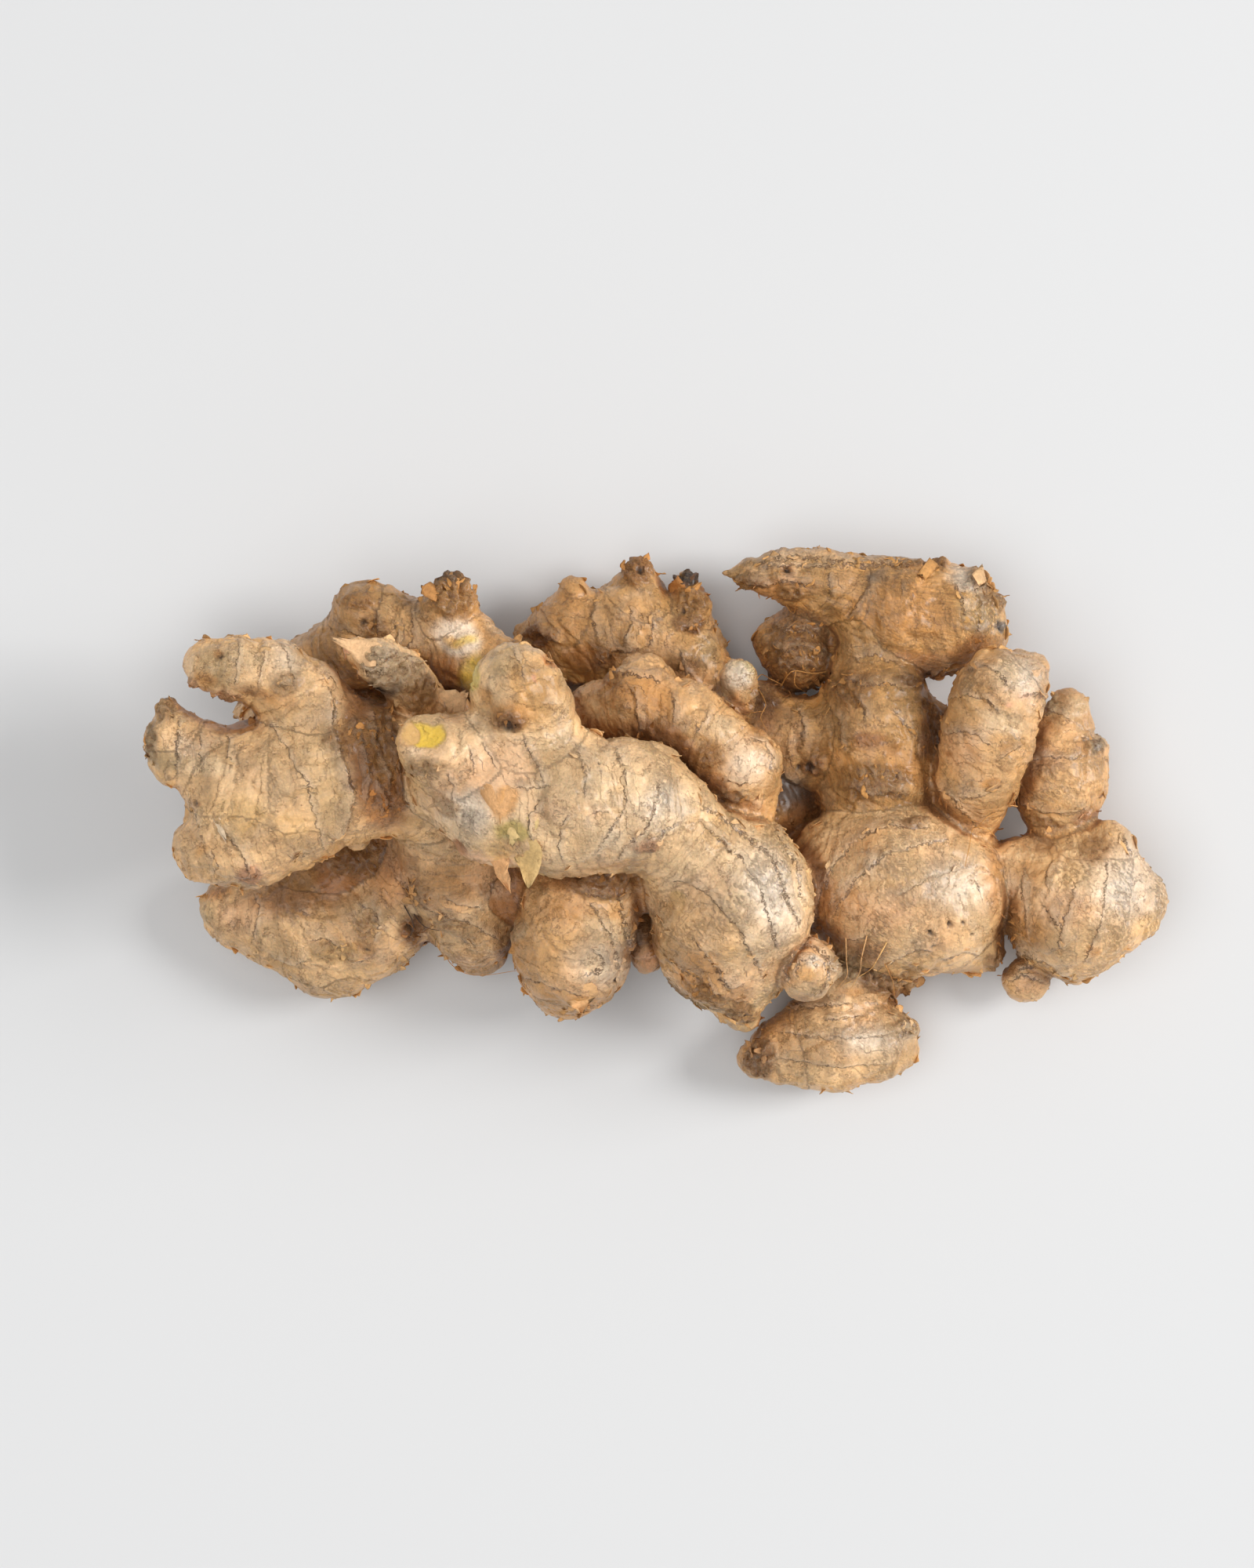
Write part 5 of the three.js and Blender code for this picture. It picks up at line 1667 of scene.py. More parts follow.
@dataclass(frozen=True)
class SkinFinish:
    """Thin satin ginger skin: mottled, fibrous, with dark ring lines, flakes, crust and moist flesh.

    Attributes:
        roughness: Roughness of smooth skin.
        relief: Height of the fine relief, in mm.
        softness: Share of light that spreads under the skin.
        gloss: Strength of the skin's reflection.
        wax: Share of the skin's smoother waxy layer.
    """

    roughness: float = 0.41
    relief: float = 0.6
    softness: float = 0.05
    gloss: float = 0.55
    wax: float = 0.5

    def material(self) -> bpy.types.Material:
        """Makes the skin's material.

        Returns:
            The material.
        """
        g = NodeGraph("ginger_skin")
        place = g.millimetres()
        marks = {name: g.attribute(name) for name in ("crust", "flesh", "fibres", "flaky")}
        marks["line"], marks["lip"] = self._scar_lines(g, place)
        marks["fine"] = g.noise(place, 1.6, 6.0, 0.6)
        marks["streaks"] = g.noise(g.attribute("grain", "Vector"), 1.2, 5.0, 0.62)
        marks["ledge"], marks["ledge_edge"] = self._ledges(g, place)
        marks["torn"] = g.noise(place, 0.75, 7.0, 0.68)
        marks["coarse"] = g.remap(g.noise(place, 0.085, 4.0, 0.6), 0.38, 0.62, 0.3, 1.35)
        colour = self._flesh_colour(g, self._colour(g, place, marks), place)
        bump = g.node("Bump", {
            "Height": self._relief(g, marks), "Distance": self.relief * MM, "Strength": 1.0,
        })
        rough = g.remap(marks["fine"], 0.25, 0.75, self.roughness - 0.08, self.roughness + 0.12)
        for name, share in (("coarse", 0.06), ("crust", 0.3), ("line", 0.4)):
            rough = g.math("ADD", rough, g.math("MULTIPLY", marks[name], share))
        rough = g.math("SUBTRACT", rough, g.math("MULTIPLY", marks["flesh"], 0.16), clamp=True)
        shader = g.node("BsdfPrincipled", {
            "Base Color": colour,
            "Roughness": rough,
            "Normal": bump.outputs[0],
            "Subsurface Weight": self.softness,
            "Subsurface Scale": 0.002,
            "Specular IOR Level": self.gloss,
            "Coat Weight": self.wax,
            "Coat Roughness": 0.3,
        })
        return g.finish(shader)

    def _scar_lines(self, g: NodeGraph, place: Socket) -> tuple[Socket, Socket]:
        """Works out the ring scars.

        Args:
            g: The material's nodes.
            place: The object's coordinates, in mm.

        Returns:
            The dark line of each scar, and the height of the lip beside it.
        """
        jitter = g.remap(g.noise(place, 1.1, 5.0, 0.7), 0.2, 0.8, -0.7, 0.7)
        away = g.math("ADD", g.attribute("scar"), jitter)
        strength = g.attribute("scar_strength")
        broken = g.remap(g.noise(place, 0.5, 3.0, 0.6), 0.4, 0.58, 0.25, 1.0)
        line = g.remap(g.math("ABSOLUTE", away), 0.02, 0.24, 1.0, 0.0)
        line = g.math("MULTIPLY", line, g.math("MULTIPLY", strength, broken))
        rise = g.math("MULTIPLY", g.remap(away, -0.15, 0.2), g.remap(away, 3.2, 0.2))
        return line, g.math("MULTIPLY", rise, strength)

    def _ledges(self, g: NodeGraph, place: Socket) -> tuple[Socket, Socket]:
        """Works out the thin layers of peeling skin.

        Args:
            g: The material's nodes.
            place: The object's coordinates, in mm.

        Returns:
            The height of the layers, and 1 on the ragged edge of each.
        """
        ragged = g.remap(g.noise(place, 0.9, 6.0, 0.7), 0.2, 0.8, -0.42, 0.42)
        level = g.math("ADD", g.attribute("peel"), ragged)
        part = g.math("FRACT", level)
        rise = g.remap(part, 0.44, 0.56)
        height = g.math("SUBTRACT", rise, part)
        edge = g.remap(g.math("ABSOLUTE", g.math("SUBTRACT", part, 0.45)), 0.02, 0.08, 1.0, 0.0)
        broken = g.remap(g.noise(place, 0.3, 4.0, 0.6), 0.44, 0.6)
        return height, g.math("MULTIPLY", edge, broken)

    def _colour(self, g: NodeGraph, place: Socket, marks: dict[str, Socket]) -> Socket:
        """Returns the skin's colour: the painted tint with fine marks worked into it.

        Args:
            g: The material's nodes.
            place: The object's coordinates, in mm.
            marks: Sockets of the marks, by name.

        Returns:
            A colour socket.
        """
        shade = g.remap(g.noise(place, 0.4, 5.0, 0.6), 0.25, 0.75, 0.93, 1.12)
        shade = g.math("MULTIPLY", shade, g.remap(marks["fine"], 0.25, 0.75, 0.92, 1.06))
        streak = g.remap(marks["streaks"], 0.3, 0.7, -0.38, 0.2)
        streak = g.math("ADD", 1.0, g.math("MULTIPLY", streak, marks["fibres"]))
        shade = g.math("MULTIPLY", shade, streak)
        grey = g.node("CombineColor", {0: shade, 1: shade, 2: shade}).outputs[0]
        colour = g.blend(g.attribute("tint", "Color"), grey, 1.0, "MULTIPLY")
        dark, pale = (*Tint.DARK.value, 1.0), (*Tint.CHALK.value, 1.0)
        specks = g.remap(g.noise(place, 1.9, 3.0, 0.55), 0.67, 0.75, 0.0, 0.45)
        colour = g.blend(colour, dark, specks)
        colour = g.blend(colour, dark, g.math("MULTIPLY", marks["ledge_edge"], 0.55))
        colour = g.blend(colour, pale, g.math("MULTIPLY", marks["lip"], 0.14))
        torn = g.math("MULTIPLY", g.remap(marks["torn"], 0.5, 0.38), marks["crust"])
        colour = g.blend(colour, dark, g.math("MULTIPLY", torn, 0.65))
        crest = g.math("MULTIPLY", g.remap(marks["torn"], 0.56, 0.68), marks["crust"])
        cream = (*Tint.PALE.value, 1.0)
        colour = g.blend(colour, cream, g.math("MULTIPLY", crest, 0.35))
        return g.blend(colour, (0.25, 0.095, 0.027, 1.0), g.math("MULTIPLY", marks["line"], 0.8))

    def _flesh_colour(self, g: NodeGraph, colour: Socket, place: Socket) -> Socket:
        """Dots fibre ends over the bare flesh.

        Args:
            g: The material's nodes.
            colour: The skin's colour.
            place: The object's coordinates, in mm.

        Returns:
            The colour of skin and flesh.
        """
        dots = g.node("TexVoronoi", {"Vector": place, "Scale": 1.5}).outputs["Distance"]
        dots = g.remap(dots, 0.1, 0.3, 0.15, 0.0)
        moist = g.blend(g.attribute("tint", "Color"), (0.52, 0.26, 0.03, 1.0), dots)
        return g.blend(colour, moist, g.attribute("flesh"))

    def _relief(self, g: NodeGraph, marks: dict[str, Socket]) -> Socket:
        """Returns the height of the fine relief, in shares of its full height.

        Args:
            g: The material's nodes.
            marks: Sockets of the marks, by name.

        Returns:
            A number socket.
        """
        wrinkles = g.noise(g.attribute("rings", "Vector"), 0.7, 6.0, 0.68)
        height = g.math("MULTIPLY", marks["fine"], 0.6)
        height = g.math("ADD", height, g.math("MULTIPLY", wrinkles, 1.4))
        fibres = g.math("MULTIPLY", marks["streaks"], marks["fibres"])
        height = g.math("ADD", height, g.math("MULTIPLY", fibres, 1.6))
        ledges = g.math("MULTIPLY", marks["ledge"], g.math("ADD", marks["flaky"], 0.35))
        height = g.math("ADD", height, g.math("MULTIPLY", ledges, 1.3))
        height = g.math("MULTIPLY", height, marks["coarse"])
        height = g.math("SUBTRACT", height, g.math("MULTIPLY", marks["line"], 0.9))
        height = g.math("ADD", height, g.math("MULTIPLY", marks["lip"], 0.9))
        torn = g.math("MULTIPLY", marks["torn"], marks["crust"])
        height = g.math("ADD", height, g.math("MULTIPLY", torn, 5.0))
        return g.math("MULTIPLY", height, g.remap(marks["flesh"], 0.0, 1.0, 1.0, 0.3))


def store_tints(mesh: bpy.types.Mesh, tints: np.ndarray) -> None:
    """Stores the painted colour of every vertex on a mesh.

    Args:
        mesh: The mesh.
        tints: (n, 3) linear colours.
    """
    colours = np.ones((len(tints), 4))
    colours[:, :3] = np.clip(tints, 0, 1)
    layer = mesh.attributes.new("tint", "FLOAT_COLOR", "POINT")
    layer.data.foreach_set("color", colours.ravel())


class GrownSkin:
    """The finished skin, as the small dry pieces need it."""

    def __init__(self, mesh: bpy.types.Mesh, marks: SkinMarks, plan: Plan, fit: LayoutFit) -> None:
        """Reads the finished mesh.

        Args:
            mesh: The skin's mesh, in metres.
            marks: The marks laid on it.
            plan: The drawing that pieces are placed on.
            fit: Takes layout millimetres to metres.
        """
        count = len(mesh.vertices)
        self.points = np.empty(count * 3)
        mesh.vertices.foreach_get("co", self.points)
        self.points = self.points.reshape(-1, 3)
        self.normals = np.empty(count * 3)
        mesh.vertex_normals.foreach_get("vector", self.normals)
        self.normals = self.normals.reshape(-1, 3)
        self.marks = marks
        self.plan = plan
        self.fit = fit
        self.faces = [tuple(face.vertices) for face in mesh.polygons]
        self.tree = BVHTree.FromPolygons(self.points.tolist(), self.faces)

    def under(self, at: Plan2) -> tuple[Vector, Vector]:
        """Returns the skin's point and normal under a point of the drawing.

        Args:
            at: Point on the drawing, in mm.

        Returns:
            The point and the normal, in metres; just off the edge, those of the nearest skin.
        """
        eye, heading = self.plan.sight_line(at)
        point, normal, _, _ = self.tree.ray_cast(self.fit.place(eye), heading)
        if point is None:
            level = self.fit.place((*at, self.plan.level))
            point, normal, _, _ = self.tree.find_nearest(level)
        return point, normal

    def tint_at(self, point: Vector) -> np.ndarray:
        """Returns the skin's colour nearest to a point, in metres."""
        _, _, face, _ = self.tree.find_nearest(point)
        return self.marks.tint[self.faces[face][0]]


def frame_of(normal: Vector, heading: Vector) -> tuple[Vector, Vector, Vector]:
    """Returns unit vectors forward (heading, laid flat on the skin), across and out.

    Args:
        normal: Direction out of the skin.
        heading: Rough direction of growth.

    Returns:
        Forward, across and out.
    """
    forward = heading - normal * heading.dot(normal)
    if forward.length < 1e-6:
        forward = normal.orthogonal()
    forward.normalize()
    return forward, normal.cross(forward), normal


def leaf(
    spine: Sequence[tuple[Vector, Vector]], width: float, lift: float, cup: float, point: float,
    rng: np.random.Generator,
) -> tuple[list[Vector], list[Face]]:
    """Returns a thin leaf of dry skin that lies along a line and lifts towards its tip.

    Args:
        spine: Points of the line with the skin's direction out at each, in metres.
        width: Its width, in mm.
        lift: How far its tip stands off the skin, in mm.
        cup: How far its sides bend towards the skin, in mm.
        point: 1 for a pointed tip, 0 for a torn square one.
        rng: Source of its raggedness.

    Returns:
        Vertices and four-cornered faces of a closed sheet.
    """
    rows, columns = len(spine), 5
    heading = spine[-1][0] - spine[0][0]
    length = heading.length / MM
    ragged = rng.uniform(-0.12, 0.12, (rows, columns))
    vertices = []
    for side in (1, -1):
        for row, (middle, normal) in enumerate(spine):
            forward, across, out = frame_of(normal, heading)
            run = row / (rows - 1)
            half = width / 2 * (1 - point * run**1.6) * (0.8 + 0.5 * math.sin(math.pi * run))
            for column in range(columns):
                turn = 2 * column / (columns - 1) - 1
                slip = length * run * (ragged[row, column] - 0.12 * abs(turn))
                rise = lift * run**1.7 - cup * turn * turn * (0.4 + 0.6 * run) - 0.25 + side * 0.06
                place = middle + (forward * slip + across * (half * turn) + out * rise) * MM
                place.z = max(place.z, 0)
                vertices.append(place)
    faces = []
    step = rows * columns
    for row in range(rows - 1):
        for column in range(columns - 1):
            a = row * columns + column
            top = (a, a + columns, a + columns + 1, a + 1)
            faces.append(top)
            faces.append(tuple(corner + step for corner in reversed(top)))
    rim = list(range(columns))
    rim += [row * columns + columns - 1 for row in range(1, rows)]
    rim += [(rows - 1) * columns + column for column in range(columns - 2, -1, -1)]
    rim += [row * columns for row in range(rows - 2, 0, -1)]
    for a, b in zip(rim, rim[1:] + rim[:1]):
        faces.append((a, b, b + step, a + step))
    return vertices, faces


@dataclass(frozen=True)
class DryFinish:
    """Thin dry papery tissue: matt, pale, with brown fibre lines.

    Attributes:
        roughness: Its roughness.
    """

    roughness: float = 0.7

    def material(self) -> bpy.types.Material:
        """Makes the dry tissue's material.

        Returns:
            The material.
        """
        g = NodeGraph("ginger_dry_tissue")
        place = g.millimetres()
        spots = g.remap(g.noise(place, 0.7, 5.0, 0.6), 0.3, 0.7, 0.82, 1.12)
        grey = g.node("CombineColor", {0: spots, 1: spots, 2: spots}).outputs[0]
        colour = g.blend(g.attribute("tint", "Color"), grey, 1.0, "MULTIPLY")
        bump = g.node("Bump", {"Height": g.noise(place, 1.6, 5.0), "Distance": 0.4 * MM})
        shader = g.node("BsdfPrincipled", {
            "Base Color": colour, "Roughness": self.roughness, "Normal": bump.outputs[0],
        })
        return g.finish(shader)


def coloured_piece(name: str, shapes: Iterable[Shape], smooth: bool) -> bpy.types.Object:
    """Joins small closed shapes into one piece of dry tissue.

    Args:
        name: The piece's name.
        shapes: The vertices, faces and colour of each shape.
        smooth: Whether its faces are shaded as one smooth surface.

    Returns:
        The piece, which rides on the body.
    """
    vertices: list[Vector] = []
    faces: list[Face] = []
    tints: list[Sequence[float]] = []
    for points, corners, tint in shapes:
        start = len(vertices)
        vertices += points
        faces += [tuple(corner + start for corner in face) for face in corners]
        tints += [tint] * len(points)
    mesh = bpy.data.meshes.new(name)
    mesh.from_pydata(vertices, [], faces)
    store_tints(mesh, np.array(tints))
    mesh.polygons.foreach_set("use_smooth", np.full(len(faces), smooth))
    mesh.materials.append(DryFinish().material())
    mesh.update()
    piece = bpy.data.objects.new(name, mesh)
    bpy.context.scene.collection.objects.link(piece)
    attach(piece, BODY)
    log.info("%s: %d vertices, %d faces", name, len(vertices), len(faces))
    return piece


@dataclass(frozen=True)
class Scale:
    """One larger papery scale left of a leaf.

    Attributes:
        name: What it is called.
        base: Where it grows from, on the plan.
        tip: Where its tip points, on the plan.
        width: Its width, in mm.
        lift: How far its tip stands off the skin, in mm.
        cup: How far its sides bend towards the skin, in mm.
        tint: Its colour.
    """

    name: str
    base: Plan2
    tip: Plan2
    width: float
    lift: float
    cup: float
    tint: Tint


@dataclass
class DryTissue:
    """Everything papery: named scales, and flakes scattered over crusts, scars and steep sides.

    Attributes:
        skin: The finished skin.
        crust_flakes: How many flakes stand on the crusts.
        ring_flakes: How many flakes peel off along the rings.
        side_flakes: How many flakes peel off the steep sides.
        seed: Number that fixes the scatter.
        scales: The larger scales.
    """

    ROWS = 6
    DROP = 3.0

    skin: GrownSkin
    crust_flakes: int = 750
    ring_flakes: int = 420
    side_flakes: int = 1000
    seed: int = 23
    scales: tuple[Scale, ...] = (
        Scale("pointed_scale", (-31.0, -5.0), (-28.4, -14.2), 7.5, 2.0, 1.0, Tint.GREYISH),
        Scale("curled_scale", (-38.0, -8.0), (-32.6, -14.6), 4.6, 2.4, 1.2, Tint.PINK),
        Scale("ochre_scale", (-36.0, 10.0), (-36.4, 0.0), 9.0, 0.5, 0.4, Tint.BROWN),
        Scale("green_scale", (-31.0, 3.0), (-34.0, -6.0), 8.5, 0.5, 0.4, Tint.LIME),
        Scale("white_flap", (-103.6, 0.5), (-100.4, -5.0), 2.4, 1.0, 0.2, Tint.CHALK),
        Scale("hollow_scale", (-65.0, 38.6), (-73.6, 41.6), 6.0, 1.0, 0.8, Tint.ROSY),
        Scale("valley_scale", (-50.0, 25.5), (-44.4, 29.8), 8.5, 1.6, 0.8, Tint.PALE),
        Scale("finger_scale", (88.0, 33.0), (90.6, 35.6), 3.0, 0.8, 0.5, Tint.BROWN),
        Scale("end_scale", (107.6, -1.5), (111.0, -8.0), 3.4, 0.7, 0.5, Tint.TAN),
        Scale("back_flap_left", (-51.0, 53.0), (-57.0, 56.8), 4.5, 1.4, 0.6, Tint.DARK),
        Scale("back_flap_right", (-49.0, 54.0), (-45.0, 56.6), 4.5, 1.4, 0.7, Tint.BROWN),
        Scale("knob_flap", (4.4, 53.0), (6.0, 57.6), 5.0, 1.4, 0.8, Tint.DARK),
        Scale("knob_flap_right", (8.4, 53.6), (10.6, 56.6), 3.4, 1.2, 0.6, Tint.BROWN),
        Scale("torn_scale", (66.0, 58.2), (64.4, 62.0), 4.0, 1.4, 0.6, Tint.BROWN),
        Scale("torn_scale_right", (76.0, 56.6), (78.6, 60.0), 4.0, 1.6, 0.6, Tint.TAN),
        Scale("low_tip", (-18.0, -39.0), (-17.0, -45.0), 8.0, 0.5, 0.4, Tint.TAN),
        Scale("bottom_tear", (14.5, -45.5), (16.5, -50.0), 5.0, 1.0, 0.6, Tint.BROWN),
    )

    def build(self) -> bpy.types.Object:
        """Builds all of it as one mesh.

        Returns:
            The piece.
        """
        rng = np.random.default_rng(self.seed)
        shapes = itertools.chain(self._scales(rng), self._flakes(rng))
        return coloured_piece("dry_tissue", shapes, smooth=True)

    def _scales(self, rng: np.random.Generator) -> Iterator[Shape]:
        """Builds the named scales, each lying along the skin from its base to its tip.

        Args:
            rng: Source of their raggedness.

        Yields:
            The vertices, faces and colour of each.
        """
        for scale in self.scales:
            base, tip = np.array(scale.base), np.array(scale.tip)
            runs = np.linspace(0, 1, self.ROWS)
            spots: list[tuple[Vector, Vector]] = []
            for run in runs:
                point, normal = self.skin.under(tuple(base + (tip - base) * run))
                if spots and point.z < spots[-1][0].z - self.DROP * MM:
                    point.z, normal = spots[-1][0].z, spots[-1][1]
                spots.append((point, normal))
            mean = sum((normal for _, normal in spots), Vector())
            spine = [(point, (normal + mean).normalized()) for point, normal in spots]
            points, quads = leaf(spine, scale.width, scale.lift, scale.cup, 0.75, rng)
            yield points, quads, (self.skin.tint_at(spots[0][0]) + np.array(scale.tint.value)) / 2

    def _flakes(self, rng: np.random.Generator) -> Iterator[Shape]:
        """Scatters the small flakes.

        Args:
            rng: Source of their places and shapes.

        Yields:
            The vertices, faces and colour of each.
        """
        marks = self.skin.marks
        whole = marks.flesh < 0.1
        on_ring = (np.abs(marks.scar) < 0.5) & (marks.scar_strength > 0.45)
        steep = np.abs(self.skin.normals[:, 2]) < 0.4
        for spot in rng.choice(np.flatnonzero((marks.crust > 0.45) & whole), self.crust_flakes):
            yield self._flake(spot, rng.uniform((0.9, 0.7, 0.3), (2.4, 1.8, 1.5)), rng)
        for spot in rng.choice(np.flatnonzero(on_ring & whole), self.ring_flakes):
            yield self._flake(spot, rng.uniform((0.7, 1.2, 0.15), (1.7, 3.2, 0.6)), rng)
        for spot in rng.choice(np.flatnonzero(steep & whole), self.side_flakes):
            yield self._flake(spot, rng.uniform((0.8, 1.2, 0.3), (2.4, 3.4, 1.2)), rng)

    def _flake(self, spot: int, sizes: np.ndarray, rng: np.random.Generator) -> Shape:
        """Builds one flake at a vertex of the skin, in a shade of the skin's colour there.

        Args:
            spot: The vertex.
            sizes: The flake's length, width and lift, in mm.
            rng: Source of its heading and raggedness.

        Returns:
            Its vertices, faces and colour.
        """
        base = Vector(self.skin.points[spot])
        normal = Vector(self.skin.normals[spot])
        forward, _, _ = frame_of(normal, Vector(rng.normal(size=3)))
        length, width, lift = sizes
        runs = np.linspace(0, length * MM, self.ROWS)
        spine = [(base + forward * run, normal) for run in runs]
        tint = self.skin.marks.tint[spot] * rng.uniform(0.65, 1.05)
        points, quads = leaf(spine, width, lift, 0.15, rng.uniform(0.2, 0.9), rng)
        return points, quads, tint


@dataclass(frozen=True)
class Rootlet:
    """One thread-like rootlet.

    Attributes:
        path: (x, y) on the plan and height over the skin, all in mm.
        radius: Its radius, in mm.
        tint: Its colour.
    """

    path: tuple[tuple[float, float, float], ...]
    radius: float = 0.16
    tint: Tint = Tint.TAN


@dataclass
class Rootlets:
    """The dry rootlets and fibres that cling to the piece.

    Attributes:
        skin: The finished skin.
        threads: The rootlets.
        sides: Sides of each thread's section.
        steps: Rings of each thread between two points of its path.
        taper: Share of its radius that it loses towards its tip.
    """

    skin: GrownSkin
    sides: int = 6
    steps: int = 6
    taper: float = 0.55
    threads: tuple[Rootlet, ...] = (
        Rootlet(((75.6, -0.4, 1.6), (74, -3.4, 1.4), (73.2, -7, 1.0), (72.7, -11, 0.4)), 0.16, Tint.OCHRE),
        Rootlet(((76, -0.4, 1.6), (77.6, -1.6, 1.6), (79.8, -4.2, 0.8)), 0.14, Tint.OCHRE),
        Rootlet(((75.8, -0.4, 1.6), (77.6, 1.4, 1.2), (80, 2, 0.4)), 0.14, Tint.OCHRE),
        Rootlet(((54.4, -28.6, 0.4), (52, -32, 1.6), (48.6, -35, 1.8), (44.6, -38, 0.8)), 0.2, Tint.GOLD),
        Rootlet(((50, -27, 0.3), (49.4, -31.6, 1.5), (47, -36, 1.5), (45.6, -40, 0.6)), 0.18, Tint.TAN),
        Rootlet(((45, -27.6, 0.3), (45.6, -31.6, 1.4), (44.6, -36, 1.2), (42.6, -39.6, 0.4)), 0.18, Tint.TAN),
        Rootlet(((41.6, -28.6, 0.3), (43.4, -32.6, 1.4), (43.4, -37, 0.8)), 0.16, Tint.BROWN),
        Rootlet(((54, -33.6, 0.3), (56.6, -37, 1.2), (56.4, -41, 0.6)), 0.16, Tint.BROWN),
        Rootlet(((21.6, 27.6, 0.4), (22.6, 25.4, 1.4), (22.2, 22.8, 1.2), (24.4, 20.4, 0.5)),
                0.16, Tint.BROWN),
        Rootlet(((24.6, 30.6, 0.4), (25.4, 27, 1.4), (24.6, 23.6, 1.4), (26.4, 21, 0.4)), 0.15, Tint.OCHRE),
        Rootlet(((21, 24.6, 0.4), (23.4, 24.4, 1.5), (26, 25.4, 0.6)), 0.14, Tint.BROWN),
        Rootlet(((22.4, 31, 0.4), (24.6, 32.6, 1.6), (27.6, 31.6, 1.6), (30.4, 32.2, 0.8)), 0.15, Tint.OCHRE),
        Rootlet(((30, 32, 0.8), (31.6, 34.6, 1.0), (33.4, 35.8, 1.0), (37, 35.2, 1.0), (40.4, 35, 0.4)),
                0.17, Tint.OCHRE),
        Rootlet(((33.4, 35.8, 1.0), (33, 33, 1.6), (35.4, 30.6, 0.6)), 0.14, Tint.OCHRE),
        Rootlet(((-53, -29.5, 0.3), (-48, -33, 0.5), (-42.6, -36, 0.5), (-37.8, -37.4, 0.3)),
                0.12, Tint.BROWN),
        Rootlet(((-34.4, -36.6, 0.3), (-34.6, -39, 0.4), (-32.4, -40.6, 0.3)), 0.11, Tint.DARK),
        Rootlet(((-120, 16.6, 0.2), (-120.8, 14.6, 0.3), (-119.6, 12.4, 0.2)), 0.12, Tint.DARK),
        Rootlet(((-58, -24, 0.3), (-56, -26.6, 1.0), (-53.4, -28.6, 0.5)), 0.18, Tint.DARK),
        Rootlet(((-56.6, -22, 0.3), (-54, -24.4, 1.0), (-50.6, -25.6, 0.4)), 0.16, Tint.NEAR_BLACK),
        Rootlet(((-59, -20, 0.3), (-57.4, -23.6, 1.2), (-57.8, -27.4, 0.5)), 0.16, Tint.NEAR_BLACK),
        Rootlet(((31, 50.6, 0.3), (32.6, 48.6, 0.8), (33.6, 51.6, 0.6), (36, 49.6, 0.3)), 0.14, Tint.OCHRE),
    )

    def build(self) -> bpy.types.Object:
        """Builds all rootlets as one mesh.

        Returns:
            The piece.
        """
        shapes = ((*self._tube(thread), thread.tint.value) for thread in self.threads)
        return coloured_piece("rootlets", shapes, smooth=False)

    def _line(self, thread: Rootlet) -> list[Vector]:
        """Draws the smooth middle line of a thread.

        Args:
            thread: The rootlet.

        Returns:
            Points along it, in metres.
        """
        knots = []
        for x, y, rise in thread.path:
            point, normal = self.skin.under((x, y))
            knots.append(point + normal * rise * MM)
        padded = [knots[0], *knots, knots[-1]]
        line = []
        for a, b, c, d in zip(padded, padded[1:], padded[2:], padded[3:]):
            for step in range(self.steps):
                t = step / self.steps
                curve = b * 2 + (c - a) * t + (a * 2 - b * 5 + c * 4 - d) * t**2
                line.append((curve + (b * 3 - a - c * 3 + d) * t**3) / 2)
        return [*line, knots[-1]]

    def _tube(self, thread: Rootlet) -> tuple[list[Vector], list[Face]]:
        """Builds a closed, tapering tube along a thread.

        Args:
            thread: The rootlet.

        Returns:
            Its vertices, in metres, and its faces.
        """
        line = self._line(thread)
        end = len(line) - 1
        points: list[Vector] = []
        for number, middle in enumerate(line):
            ahead = line[min(number + 1, end)] - line[max(number - 1, 0)]
            side = ahead.orthogonal().normalized()
            other = ahead.normalized().cross(side)
            size = thread.radius * MM * (1 - self.taper * number / end)
            for corner in range(self.sides):
                angle = 2 * math.pi * corner / self.sides
                points.append(middle + (side * math.cos(angle) + other * math.sin(angle)) * size)
        faces: list[Face] = [tuple(reversed(range(self.sides)))]
        for ring in range(end):
            for corner in range(self.sides):
                a = ring * self.sides + corner
                b = ring * self.sides + (corner + 1) % self.sides
                faces.append((a, b, b + self.sides, a + self.sides))
        last = end * self.sides
        faces.append(tuple(range(last, last + self.sides)))
        return points, faces


